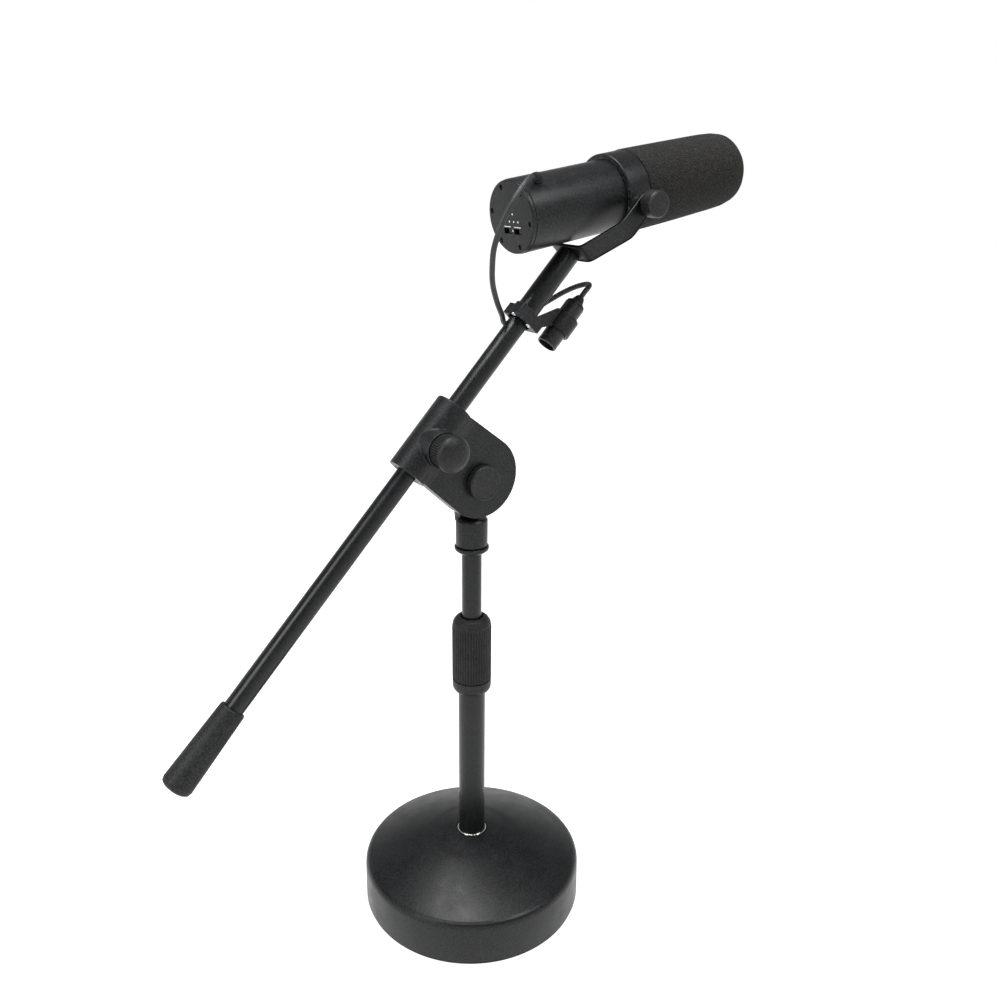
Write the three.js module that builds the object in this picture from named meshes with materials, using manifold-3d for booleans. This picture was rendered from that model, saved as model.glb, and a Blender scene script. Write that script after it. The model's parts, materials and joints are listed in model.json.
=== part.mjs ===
// Desktop microphone stand: a weighted round base, a telescopic mast with a twist clutch, a pivoting
// boom with a rubber grip, and a yoke-mounted broadcast microphone with its lead and connector.
// Millimetres, +Z up, origin at the centre of the base's underside. The boom lies in the XZ plane.

import * as THREE from 'three';
import { mergeVertices } from 'three/addons/utils/BufferGeometryUtils.js';
import Module from 'manifold-3d';

const wasm = await Module();
wasm.setup();

// ---------------------------------------------------------------- driving dimensions
const GAP = 0.3; // clearance between separate pieces
const FINE = 16; // sides of a screw or pin
const ROUND = 28; // sides of an ordinary turned piece
const WIDE = 44; // sides of the base's pieces

// base
const BASE_RADIUS = 94.2;
const BASE_TOP_RADIUS = 93.9;
const SKIRT_TOP = 33;
const HUB_HEIGHT = 65;
const DOME_EDGE_RADIUS = 84;
const DOME_DROP = 21.4;
const DOME_POWER = 1.7;
const SHELL_WALL = 3;
const HUB_HOLE_RADIUS = 13;
const PAD_THICKNESS = 2.2;
const PLATE_TOP = 4.1;
const WEIGHT_WEB_BOTTOM = 10.5;
const WEIGHT_WEB_TOP = 27.7;
const WEIGHT_TOP = 44;
const BOLT_RADIUS = 4;

// mast
const LOWER_TUBE_RADIUS = 11.2;
const LOWER_TUBE_BORE = 9.7;
const LOWER_TUBE_TOP = 236;
const MAST_RADIUS = 8;
const MAST_BORE = 6.6;
const MAST_BOTTOM = 110;
const MAST_TOP = 330.6;
const THREAD_RADIUS = 7.8; // 5/8 inch stand thread
const CLUTCH_BOTTOM = 202.6;
const CLUTCH_SPLIT = 214.5;
const CLUTCH_TOP = 271.3;
const CLUTCH_RADIUS = 16.2;
const CLUTCH_VALLEY_RADIUS = 15.7;
const CLUTCH_RIB_TOP = 264;
const CLUTCH_RIBS = 44;
const JAM_RING_BOTTOM = 327.8;
const COUPLER_BOTTOM = 333.8;
const COUPLER_TOP = 357;
const COUPLER_RADIUS = 12.7;

// boom frame: s runs up along the boom, n is square to it in the XZ plane
const BOOM_SLOPE = THREE.MathUtils.degToRad(45.05);
const BOOM_HEIGHT = 462.2; // where the boom's axis passes over the mast
const BOOM_RADIUS = 7.75;
const BOOM_BORE = 6.55;
const BOOM_START = -352;
const BOOM_END = 62.8;
const GRIP_START = -290;
const GRIP_END = -358;

// pivot block
const PIVOT_S = -51.2;
const PIVOT_N = -51.1;
const PLATE_START = -82.3;
const PLATE_END = -21.8;
const NOSE_S = -48.6;
const NOSE_N = -50.2;
const NOSE_RADIUS = 32.4;
const BLOCK_FRONT = -13.2;
const BLOCK_BACK = 0.6;
const BOSS_RADIUS = 15.5;
const BOSS_START = -83.1;
const BOSS_END = -21;
const LINER_RADIUS = 10;
const LINER_BORE = 8.05;
const LOCK_S = -55;
const LOCK_PAD_RADIUS = 14;
const LOCK_PAD_FACE = -21;

// yoke and microphone
const STEM_START = 63.5;
const STEM_END = 129.1;
const STEM_RADIUS = 8.8;
const YOKE_THICKNESS = 3;
const YOKE_HALF_WIDTH = 8.2;
const YOKE_FOOT = 17.6;
const YOKE_BEND_S = 157.5;
const YOKE_ARM = 43.5;
const TILT_S = 183.8;
const BARREL_N = -34;
const BARREL_START = 66.5;
const BARREL_END = 106;
const BOOT_TIP = 114.5;
const BARREL_RADIUS = 8.2;
const BARREL_BORE = 6.9;
const BRACKET_START = 61.5;
const BRACKET_END = 71.5;
const MIC_SLOPE = THREE.MathUtils.degToRad(8.3);
const MIC_RADIUS = 27.05;
const MIC_BORE = 24.5;
const RING_START = 91;
const RING_END = 112;
const RING_RADIUS = 31;
const TILT_L = 95.5; // the tilt axis, measured from the rear face
const TILT_DROP = 4.2; // and below the microphone's own axis
const BOSS_REACH = 40.2;
const FOAM_START = 112.3;
const FOAM_END = 227;
const LEAD_RADIUS = 2.1;

// the lead's route from the microphone's elbow to the connector's boot
const LEAD_ROUTE = [
  [39.5, -19.5, 611.2],
  [34.5, -22.5, 611.0],
  [28.5, -25.0, 608.0],
  [21.5, -27.0, 602.5],
  [14.5, -28.0, 594.5],
  [8.4, -27.0, 584.4],
  [5.0, -25.0, 574.0],
  [3.8, -21.5, 562.5],
  [6.2, -16.7, 549.5],
  [10.5, -11.4, 538.5],
  [17.2, -5.6, 528.2],
  [23.9, -0.5, 519.5],
  [31.6, 5.2, 511.2],
  [37.6, 10.6, 504.4],
  [46.5, 14.8, 501.1],
  [59.4, 18.0, 503.3],
  [77.7, 19.5, 511.2],
  [95.8, 20.5, 517.9],
  [107.8, 20.0, 522.2],
  [115.7, 17.2, 525.2],
  [120.0, 11.5, 527.2],
  [118.6, 5.6, 527.4],
  [113.6, 1.5, 525.9],
  [109.0, 0.1, 523.2],
  [105.2, 0.0, 519.4],
];

// ---------------------------------------------------------------- materials
const finish = (color, roughness, metalness) =>
  new THREE.MeshStandardMaterial({ color, roughness, metalness });
const powderCoat = finish(0x2e3133, 0.5, 0.5);
const coatedAlloy = finish(0x303335, 0.5, 0.5);
const blackTube = finish(0x242729, 0.35, 0.6);
const castIron = finish(0x3a3a3c, 0.8, 0.6);
const zincSteel = finish(0xb9bcbf, 0.35, 0.9);
const bareAlloy = finish(0xa9adb0, 0.4, 0.9);
const blackSteel = finish(0x1b1c1e, 0.4, 0.8);
const brass = finish(0xb08a45, 0.35, 0.9);
const knobPlastic = finish(0x2a2c2e, 0.6, 0);
const nylon = finish(0xd8d5cc, 0.6, 0);
const rubber = finish(0x1f2122, 0.85, 0);
const foam = finish(0x2b2b29, 0.98, 0);
const leadJacket = finish(0x2f3133, 0.7, 0);

// ---------------------------------------------------------------- solids
function volume(positions, index) {
  const corners = [0, 1, 2].map(() => new THREE.Vector3());
  let total = 0;
  for (let i = 0; i < index.length; i += 3) {
    corners.forEach((corner, k) => corner.fromBufferAttribute(positions, index[i + k]));
    total += corners[0].dot(corners[1].cross(corners[2]));
  }
  return total / 6;
}

// Merges shared corners, drops empty triangles and turns every face outwards.
function weld(geometry) {
  geometry.deleteAttribute('normal');
  geometry.deleteAttribute('uv');
  const merged = mergeVertices(geometry, 1e-4);
  const source = merged.index.array;
  const kept = [];
  for (let i = 0; i < source.length; i += 3) {
    const [a, b, c] = [source[i], source[i + 1], source[i + 2]];
    if (a !== b && b !== c && c !== a) kept.push(a, b, c);
  }
  if (volume(merged.attributes.position, kept) < 0) kept.reverse();
  merged.setIndex(kept);
  return merged;
}

function toManifold(geometry) {
  const vertProperties = Float32Array.from(geometry.attributes.position.array);
  const triVerts = Uint32Array.from(geometry.index.array);
  return new wasm.Manifold(new wasm.Mesh({ numProp: 3, vertProperties, triVerts }));
}

function fromManifold(solid) {
  const mesh = solid.getMesh();
  const geometry = new THREE.BufferGeometry();
  geometry.setAttribute('position', new THREE.BufferAttribute(mesh.vertProperties, 3));
  geometry.setIndex(Array.from(mesh.triVerts));
  return weld(geometry);
}

const combine = (method) => (first, ...others) =>
  fromManifold(others.reduce((body, next) => body[method](toManifold(next)), toManifold(first)));
const join = combine('add');
const cut = combine('subtract');
const common = combine('intersect');

// A turned solid. The profile lists [along, radius] and starts and ends on the axis.
function turned(profile, axis = 'z', sides = ROUND) {
  const points = profile.map(([along, radius]) => new THREE.Vector2(radius, along));
  const geometry = weld(new THREE.LatheGeometry(points, sides));
  if (axis === 'z') geometry.rotateX(Math.PI / 2);
  if (axis === 'x') geometry.rotateZ(-Math.PI / 2);
  return geometry;
}

const ring = (profile, axis, sides) => turned([...profile, profile[0]], axis, sides);

const tube = (bore, radius, from, to, axis, sides) =>
  ring([[from, bore], [from, radius], [to, radius], [to, bore]], axis, sides);

const rod = (radius, from, to, axis, sides) =>
  turned([[from, 0], [from, radius], [to, radius], [to, 0]], axis, sides);

const box = (x, y, z) =>
  weld(new THREE.BoxGeometry(x[1] - x[0], y[1] - y[0], z[1] - z[0]))
    .translate((x[0] + x[1]) / 2, (y[0] + y[1]) / 2, (z[0] + z[1]) / 2);

// An outline drawn in the XZ plane and thickened from y = near to y = far.
function plate(shape, near, far) {
  const geometry = new THREE.ExtrudeGeometry(shape, {
    depth: far - near,
    bevelEnabled: false,
    curveSegments: 14,
  });
  return weld(geometry).rotateX(Math.PI / 2).translate(0, far, 0);
}

// A closed outline whose radius follows radiusAt(angle).
function roundShape(count, radiusAt) {
  const points = [];
  for (let i = 0; i < count; i += 1) {
    const angle = (2 * Math.PI * i) / count;
    const radius = radiusAt(angle, i);
    points.push(new THREE.Vector2(radius * Math.cos(angle), radius * Math.sin(angle)));
  }
  return new THREE.Shape(points);
}

const ribbedShape = (ribs, crest, valley) =>
  roundShape(2 * ribs, (angle, i) => (i % 2 ? crest : valley));

// A round cord along the points; halfSides is half the number of its sides.
function sweep(points, radius, halfSides, steps) {
  const section = new THREE.Shape().absarc(0, 0, radius, 0, 2 * Math.PI, false);
  const extrudePath = new THREE.CatmullRomCurve3(points.map((p) => new THREE.Vector3(...p)));
  return weld(new THREE.ExtrudeGeometry(section, { steps, extrudePath, curveSegments: halfSides }));
}

function node(parent, name, geometry, material, place = [0, 0, 0]) {
  const mesh = new THREE.Mesh(geometry, material);
  mesh.name = name;
  mesh.position.set(...place);
  parent.add(mesh);
}

// ---------------------------------------------------------------- base and lower tube
const domeHeight = (radius) =>
  HUB_HEIGHT - DOME_DROP * (radius / DOME_EDGE_RADIUS) ** DOME_POWER;

function baseShell() {
  const outer = [DOME_EDGE_RADIUS, 70, 56, 42, 32, 22, HUB_HOLE_RADIUS].map((r) => [domeHeight(r), r]);
  const inner = [HUB_HOLE_RADIUS, 26, 44, 62, 82].map((r) => [domeHeight(r) - SHELL_WALL, r]);
  const bottom = PAD_THICKNESS + GAP;
  return ring([
    [bottom, BASE_RADIUS - 3.6],
    [bottom, BASE_RADIUS - 0.8],
    [bottom + 0.8, BASE_RADIUS],
    [SKIRT_TOP, BASE_TOP_RADIUS],
    [35.6, 93.8],
    [37.8, 93.2],
    [39.7, 92],
    [domeHeight(90), 90],
    ...outer,
    ...inner,
    [SKIRT_TOP - 1, BASE_TOP_RADIUS - 3.6],
  ], 'z', WIDE);
}

const baseWeight = () => ring([
  [PLATE_TOP + GAP, 9.5],
  [PLATE_TOP + GAP, 88],
  [16, 87.5],
  [19.5, 80],
  [25, 45],
  [31, 26],
  [WEIGHT_TOP, 18],
  [WEIGHT_TOP, LOWER_TUBE_RADIUS + GAP],
  [WEIGHT_WEB_TOP, LOWER_TUBE_RADIUS + GAP],
  [WEIGHT_WEB_TOP, BOLT_RADIUS + GAP],
  [WEIGHT_WEB_BOTTOM, BOLT_RADIUS + GAP],
  [WEIGHT_WEB_BOTTOM, 9.5],
], 'z', WIDE);

function baseBolt() {
  const hexTop = 7.8;
  const flangeTop = WEIGHT_WEB_BOTTOM - GAP;
  const head = rod(7.4, PAD_THICKNESS + GAP, hexTop, 'z', 6);
  const shank = turned([
    [hexTop - 0.5, 0],
    [hexTop - 0.5, 6],
    [hexTop, 9],
    [flangeTop, 9],
    [flangeTop, BOLT_RADIUS],
    [42, BOLT_RADIUS],
    [42, 0],
  ]);
  return join(head, shank);
}

function addBase(parent) {
  const tubeFoot = WEIGHT_WEB_TOP + GAP;
  node(parent, 'base_shell', baseShell(), powderCoat);
  node(parent, 'base_weight', baseWeight(), castIron);
  node(parent, 'base_plate', tube(9.5, 90.2, PAD_THICKNESS + GAP, PLATE_TOP, 'z', WIDE), zincSteel);
  node(parent, 'base_pad', rod(BASE_RADIUS - 1, 0, PAD_THICKNESS, 'z', WIDE), rubber);
  node(parent, 'base_bolt', baseBolt(), zincSteel);
  const plugRadius = LOWER_TUBE_BORE - GAP;
  node(parent, 'tube_plug', tube(BOLT_RADIUS + GAP, plugRadius, tubeFoot, 44), zincSteel);
  const ringBore = LOWER_TUBE_RADIUS + GAP;
  const footRing = ring([[61.5, ringBore], [61.5, 12.4], [64, 12.4], [64.4, 12], [64.4, ringBore]]);
  node(parent, 'foot_ring', footRing, zincSteel);
  const lowerTube = tube(LOWER_TUBE_BORE, LOWER_TUBE_RADIUS, tubeFoot, LOWER_TUBE_TOP);
  node(parent, 'lower_tube', lowerTube, blackTube);
}

// ---------------------------------------------------------------- clutch
const clutchFerrule = () => ring([
  [CLUTCH_BOTTOM, LOWER_TUBE_RADIUS + GAP],
  [CLUTCH_BOTTOM, 12],
  [203.9, 14.2],
  [206, 15.7],
  [208.5, 16.1],
  [CLUTCH_SPLIT - GAP, 16.1],
  [CLUTCH_SPLIT - GAP, 12.9],
  [LOWER_TUBE_TOP, 12.9],
  [LOWER_TUBE_TOP, LOWER_TUBE_RADIUS + GAP],
]);

function clutchSleeve() {
  const bottom = CLUTCH_SPLIT + GAP;
  const opening = MAST_RADIUS + 1.2;
  const body = ring([
    [bottom, 13.2],
    [bottom, CLUTCH_VALLEY_RADIUS],
    [CLUTCH_RIB_TOP, CLUTCH_VALLEY_RADIUS],
    [267, 15],
    [269.3, 13.4],
    [270.7, 11.5],
    [CLUTCH_TOP, 10],
    [CLUTCH_TOP, opening],
    [263.2, opening],
    [262.6, 10],
    [254.5, 11.3],
    [239, 11.3],
    [238, 13.2],
  ]);
  const outline = ribbedShape(CLUTCH_RIBS, CLUTCH_RADIUS, CLUTCH_VALLEY_RADIUS - 0.1);
  const depth = CLUTCH_RIB_TOP - 0.5 - bottom;
  const ribs = weld(new THREE.ExtrudeGeometry(outline, { depth, bevelEnabled: false }));
  return join(body, cut(ribs.translate(0, 0, bottom), rod(14.4, 210, 265)));
}

function clutchCollet() {
  const closed = ring([
    [240, MAST_RADIUS + GAP],
    [240, 10.9],
    [254, 10.9],
    [262, 9.6],
    [262, MAST_RADIUS + GAP],
  ]);
  return cut(closed, box([0, 14], [-0.6, 0.6], [235, 265]));
}

// ---------------------------------------------------------------- mast and coupler
const mastStud = () => turned([
  [314, 0],
  [314, MAST_BORE - GAP],
  [MAST_TOP + GAP, MAST_BORE - GAP],
  [MAST_TOP + GAP, THREAD_RADIUS],
  [350, THREAD_RADIUS],
  [350, 0],
]);

const jamRing = () => ring([
  [JAM_RING_BOTTOM, MAST_RADIUS + GAP],
  [JAM_RING_BOTTOM, 10.6],
  [330.2, 13.6],
  [332.6, 13.8],
  [333.1, 13.2],
  [333.1, MAST_RADIUS + GAP],
]);

const pivotZ = BOOM_HEIGHT + PIVOT_S * Math.sin(BOOM_SLOPE) + PIVOT_N * Math.cos(BOOM_SLOPE);
const pivotX = PIVOT_S * Math.cos(BOOM_SLOPE) - PIVOT_N * Math.sin(BOOM_SLOPE);
const WASHER_BACK = BLOCK_BACK + GAP + 1.2;
const TONGUE = [WASHER_BACK + GAP, 11];
const TONGUE_RADIUS = 12.5;

// The coupler screws onto the mast's stud and ends in a flat tongue behind the pivot block.
function coupler() {
  const body = turned([
    [352, 0],
    [352, THREAD_RADIUS + GAP],
    [COUPLER_BOTTOM, THREAD_RADIUS + GAP],
    [COUPLER_BOTTOM, COUPLER_RADIUS - 0.5],
    [COUPLER_BOTTOM + 0.6, COUPLER_RADIUS],
    [COUPLER_TOP - 1.8, COUPLER_RADIUS],
    [COUPLER_TOP, COUPLER_RADIUS - 1.6],
    [COUPLER_TOP, 0],
  ]);
  const outline = new THREE.Shape();
  outline.moveTo(pivotX - 9, COUPLER_TOP - 4);
  outline.lineTo(pivotX + 9, COUPLER_TOP - 4);
  outline.lineTo(pivotX + TONGUE_RADIUS, pivotZ);
  outline.absarc(pivotX, pivotZ, TONGUE_RADIUS, 0, Math.PI, false);
  const bolt = rod(BOLT_RADIUS + GAP, -5, 20, 'y').translate(pivotX, 0, pivotZ);
  return cut(join(body, plate(outline, TONGUE[0], TONGUE[1] - 0.5)), bolt);
}

function addMast(parent) {
  node(parent, 'clutch_ferrule', clutchFerrule(), knobPlastic);
  node(parent, 'clutch_collet', clutchCollet(), nylon);
  node(parent, 'clutch_sleeve', clutchSleeve(), knobPlastic);
  node(parent, 'mast_glide', tube(MAST_RADIUS + GAP, LOWER_TUBE_BORE - GAP, 112, 124), nylon);
  node(parent, 'mast_tube', tube(MAST_BORE, MAST_RADIUS, MAST_BOTTOM, MAST_TOP), blackTube);
  node(parent, 'mast_stud', mastStud(), zincSteel);
  node(parent, 'jam_ring', jamRing(), powderCoat);
  node(parent, 'coupler', coupler(), powderCoat);
  const pivot = [pivotX, 0, pivotZ];
  const bore = BOLT_RADIUS + GAP;
  node(parent, 'pivot_washer', tube(bore, 14, BLOCK_BACK + GAP, WASHER_BACK, 'y'), rubber, pivot);
  node(parent, 'back_washer', tube(bore, 9, 10.8, 12, 'y'), zincSteel, pivot);
}

// ---------------------------------------------------------------- pivot block, on the boom's frame
// The angle round the plate's nose where the sloping side from (s, 0) touches it.
function touchAngle(s, side) {
  const towardsNose = Math.atan2(NOSE_N, NOSE_S - s);
  const spread = Math.asin(NOSE_RADIUS / Math.hypot(NOSE_N, NOSE_S - s));
  return towardsNose + side * (spread + Math.PI / 2);
}

function pivotBlock() {
  const outline = new THREE.Shape();
  outline.moveTo(PLATE_END, 0);
  outline.lineTo(PLATE_START, 0);
  const [from, to] = [touchAngle(PLATE_START, -1), touchAngle(PLATE_END, 1)];
  outline.absarc(NOSE_S, NOSE_N, NOSE_RADIUS, from, to, false);
  const boss = turned([
    [BOSS_START, 0],
    [BOSS_START, BOSS_RADIUS - 0.8],
    [BOSS_START + 0.8, BOSS_RADIUS],
    [BOSS_END - 0.8, BOSS_RADIUS],
    [BOSS_END, BOSS_RADIUS - 0.8],
    [BOSS_END, 0],
  ], 'x');
  const pad = rod(LOCK_PAD_RADIUS, LOCK_PAD_FACE, -8, 'y').translate(LOCK_S, 0, 0);
  const recess = rod(LOCK_PAD_RADIUS - 0.7, LOCK_PAD_FACE - 1, LOCK_PAD_FACE + 3, 'y');
  const lockHole = rod(BOLT_RADIUS + GAP, LOCK_PAD_FACE - 1, 0, 'y');
  const pivotHole = rod(BOLT_RADIUS + GAP, BLOCK_FRONT - 1, BLOCK_BACK + 1, 'y');
  return cut(
    join(plate(outline, BLOCK_FRONT, BLOCK_BACK), boss, pad),
    rod(LINER_RADIUS + GAP, BOSS_START - 1, BOSS_END + 1, 'x'),
    recess.translate(LOCK_S, 0, 0),
    lockHole.translate(LOCK_S, 0, 0),
    pivotHole.translate(PIVOT_S, 0, PIVOT_N),
  );
}

const boltHeadFace = BLOCK_FRONT - GAP;

const pivotBolt = () => turned([
  [boltHeadFace - 3, 0],
  [boltHeadFace - 3, 6.2],
  [boltHeadFace - 2, 7.8],
  [boltHeadFace, 7.8],
  [boltHeadFace, BOLT_RADIUS],
  [27, BOLT_RADIUS],
  [27, 0],
], 'y', FINE);

const pivotCap = () => turned([
  [-17.1, 0],
  [-17.1, 8.4],
  [boltHeadFace, 8.4],
  [boltHeadFace, 13.8],
  [-19, 13.8],
  [-19.8, 12.9],
  [-19.8, 0],
], 'y');

const HUB_START = 12.3;
const LOBES = 5;

// The clamping knob behind the pivot: a hub with five lobes, moulded round its nut.
function tiltKnob() {
  const lobed = plate(roundShape(60, (angle) => 12.6 + 2.4 * Math.cos(LOBES * angle)), 17, 30);
  const hub = turned([[HUB_START, 0], [HUB_START, 8], [30.5, 8], [31.5, 6], [31.5, 0]], 'y');
  const boltBore = rod(BOLT_RADIUS + GAP, HUB_START - 1, 28, 'y');
  return cut(join(lobed, hub), boltBore, rod(6.7, 14.5, 22.5, 'y'));
}

const LOCK_SKIRT_FACE = -31;

function boomLockKnob() {
  const skirtBack = LOCK_PAD_FACE + 3 - 0.6;
  const skirt = plate(ribbedShape(30, 12.9, 12.3), LOCK_SKIRT_FACE, skirtBack);
  return join(skirt, rod(BOLT_RADIUS, -25, -12.6, 'y'));
}

const boomLockCap = () => turned([
  [LOCK_SKIRT_FACE - GAP, 0],
  [LOCK_SKIRT_FACE - GAP, 13.4],
  [-32.3, 14],
  [-34.5, 13.6],
  [-37, 11],
  [-38.8, 6.5],
  [-39.4, 0],
], 'y');

const boomLiner = () => cut(
  tube(LINER_BORE, LINER_RADIUS, BOSS_START + GAP, BOSS_END - GAP, 'x'),
  box([-90, -10], [0, 14], [-0.6, 0.6]),
);

function addBlock(parent) {
  const pivot = [PIVOT_S, 0, PIVOT_N];
  const lock = [LOCK_S, 0, 0];
  node(parent, 'pivot_block', pivotBlock(), coatedAlloy);
  node(parent, 'pivot_bolt', pivotBolt(), zincSteel, pivot);
  node(parent, 'pivot_cap', pivotCap(), knobPlastic, pivot);
  node(parent, 'tilt_knob', tiltKnob(), knobPlastic, pivot);
  node(parent, 'tilt_nut', tube(BOLT_RADIUS + GAP, 6.4, 14.8, 22.2, 'y', FINE), brass, pivot);
  node(parent, 'boom_lock_knob', boomLockKnob(), knobPlastic, lock);
  node(parent, 'boom_lock_cap', boomLockCap(), knobPlastic, lock);
  const shoe = rod(BOLT_RADIUS - 0.1, -12.3, -LINER_RADIUS - GAP, 'y', FINE);
  node(parent, 'boom_lock_shoe', shoe, nylon, lock);
  node(parent, 'boom_liner', boomLiner(), knobPlastic);
}

// ---------------------------------------------------------------- boom
const endGrip = () => turned([
  [BOOM_START - 0.6, 0],
  [BOOM_START - 0.6, BOOM_RADIUS + GAP],
  [GRIP_START, BOOM_RADIUS + GAP],
  [GRIP_START, 9.1],
  [GRIP_START - 0.8, 9.7],
  [-352, 11.8],
  [-355.5, 11],
  [-357.2, 8.5],
  [GRIP_END, 0],
], 'x');

const boomStud = () => turned([
  [46, 0],
  [46, BOOM_BORE - GAP],
  [BOOM_END + GAP, BOOM_BORE - GAP],
  [BOOM_END + GAP, 7.2],
  [84, 7.2],
  [84, 0],
], 'x');

function addBoom(parent) {
  node(parent, 'boom_tube', tube(BOOM_BORE, BOOM_RADIUS, BOOM_START, BOOM_END, 'x'), blackTube);
  node(parent, 'end_grip', endGrip(), rubber);
  node(parent, 'boom_plug', rod(BOOM_BORE - GAP, BOOM_START, BOOM_START + 10, 'x'), nylon);
  node(parent, 'boom_stud', boomStud(), zincSteel);
}

// ---------------------------------------------------------------- yoke, stem and connector
const micStem = () => turned([
  [88, 0],
  [88, 7.5],
  [STEM_START, 7.5],
  [STEM_START, STEM_RADIUS - 0.4],
  [STEM_START + 0.5, STEM_RADIUS],
  [STEM_END, STEM_RADIUS],
  [STEM_END, 2.9],
  [112, 2.9],
  [112, 0],
], 'x');

// The strap's centre line in the (s, y) plane, with its four bends rounded.
function strapLine(yokeEnd) {
  const half = YOKE_THICKNESS / 2;
  const foot = STEM_END + GAP + half;
  const arm = YOKE_ARM - half;
  const corners = [
    [yokeEnd, -arm],
    [YOKE_BEND_S, -arm],
    [foot, -YOKE_FOOT],
    [foot, YOKE_FOOT],
    [YOKE_BEND_S, arm],
    [yokeEnd, arm],
  ].map((p) => new THREE.Vector2(...p));
  const bendReach = 4;
  const line = [corners[0]];
  for (let i = 1; i < corners.length - 1; i += 1) {
    const [before, corner, after] = [corners[i - 1], corners[i], corners[i + 1]];
    const start = before.clone().sub(corner).setLength(bendReach).add(corner);
    const end = after.clone().sub(corner).setLength(bendReach).add(corner);
    line.push(...new THREE.QuadraticBezierCurve(start, corner, end).getPoints(3));
  }
  line.push(corners[corners.length - 1]);
  return line;
}

function strapShape(line, half) {
  const side = (sign) => line.map((point, i) => {
    const before = line[Math.max(i - 1, 0)];
    const after = line[Math.min(i + 1, line.length - 1)];
    const along = after.clone().sub(before).normalize();
    return new THREE.Vector2(-along.y, along.x).multiplyScalar(sign * half).add(point);
  });
  return new THREE.Shape([...side(1), ...side(-1).reverse()]);
}

function yokeBracket() {
  const end = TILT_S + 9;
  const strap = weld(new THREE.ExtrudeGeometry(strapShape(strapLine(end), YOKE_THICKNESS / 2), {
    depth: 2 * YOKE_HALF_WIDTH,
    bevelEnabled: false,
  })).translate(0, 0, -YOKE_HALF_WIDTH);
  const sideView = new THREE.Shape();
  sideView.moveTo(TILT_S, YOKE_HALF_WIDTH);
  sideView.lineTo(STEM_END - 2, YOKE_HALF_WIDTH);
  sideView.lineTo(STEM_END - 2, -YOKE_HALF_WIDTH);
  sideView.lineTo(TILT_S, -YOKE_HALF_WIDTH);
  sideView.absarc(TILT_S, 0, YOKE_HALF_WIDTH, -Math.PI / 2, Math.PI / 2, false);
  const tiltHoles = rod(3, -60, 60, 'y', FINE).translate(TILT_S, 0, 0);
  const screwHole = rod(2.8, STEM_END - 2, STEM_END + 6, 'x', FINE);
  return cut(common(strap, plate(sideView, -60, 60)), tiltHoles, screwHole);
}

const stemScrew = () => turned([
  [113, 0],
  [113, 2.5],
  [STEM_END + YOKE_THICKNESS + 2 * GAP, 2.5],
  [STEM_END + YOKE_THICKNESS + 2 * GAP, 5],
  [STEM_END + YOKE_THICKNESS + 2.6, 4.6],
  [STEM_END + YOKE_THICKNESS + 3.2, 3],
  [STEM_END + YOKE_THICKNESS + 3.2, 0],
], 'x', FINE);

// the two screws in the bracket's lower face, each as [y, n]
const BRACKET_SCREWS = [[-5.2, 11.5], [-11.05, -0.8]];

// A clamp round the stem with an arm that carries the connector in a ring.
function cableBracket() {
  const clamp = box([BRACKET_START, BRACKET_END], [-13, 11], [-12, 10]);
  const lug = box([BRACKET_START, BRACKET_END], [-13, -2], [9, 14.5]);
  const arm = new THREE.Shape([
    [BRACKET_START + 1, -11],
    [BRACKET_END, -9.5],
    [95, -23.5],
    [95, -27],
    [80, -27],
    [77, -23.5],
  ].map((p) => new THREE.Vector2(...p)));
  const holder = tube(BARREL_RADIUS - 1, BARREL_RADIUS + 2.8, 80, 95, 'x').translate(0, 0, BARREL_N);
  const screwHoles = BRACKET_SCREWS.map(([y, n]) =>
    rod(1.5, BRACKET_START - 1, BRACKET_START + 8, 'x', FINE).translate(0, y, n));
  return cut(
    join(clamp, lug, plate(arm, -3, 3), holder),
    rod(STEM_RADIUS + GAP, BRACKET_START - 1, 110, 'x'),
    rod(BARREL_RADIUS + GAP, 76, 110, 'x').translate(0, 0, BARREL_N),
    ...screwHoles,
  );
}

const bracketScrew = () => turned([
  [BRACKET_START - 1.6, 0],
  [BRACKET_START - 1.6, 1.2],
  [BRACKET_START - 1, 1.9],
  [BRACKET_START - GAP, 1.9],
  [BRACKET_START - GAP, 1.2],
  [BRACKET_START + 7, 1.2],
  [BRACKET_START + 7, 0],
], 'x', FINE);

const barrelShell = () => ring([
  [BARREL_START, BARREL_BORE],
  [BARREL_START, BARREL_RADIUS - 0.5],
  [BARREL_START + 0.5, BARREL_RADIUS],
  [BARREL_END, BARREL_RADIUS],
  [BARREL_END, BARREL_BORE],
], 'x');

// The connector's insulator with its three contacts moulded through it.
function connectorInsert() {
  const face = 86;
  const pins = [90, 210, 330].map((degrees) => {
    const angle = THREE.MathUtils.degToRad(degrees);
    return rod(1.2, 78, face + 1, 'x', 10).translate(0, 3.6 * Math.cos(angle), 3.6 * Math.sin(angle));
  });
  return join(rod(BARREL_BORE - GAP, face, face + 12, 'x'), ...pins);
}

const connectorBoot = () => turned([
  [BARREL_END + GAP, 0],
  [BARREL_END + GAP, BARREL_RADIUS - 0.3],
  [107.5, BARREL_RADIUS - 0.5],
  [109, 5.6],
  [BOOT_TIP, 3.6],
  [BOOT_TIP, 0],
], 'x');

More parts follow.
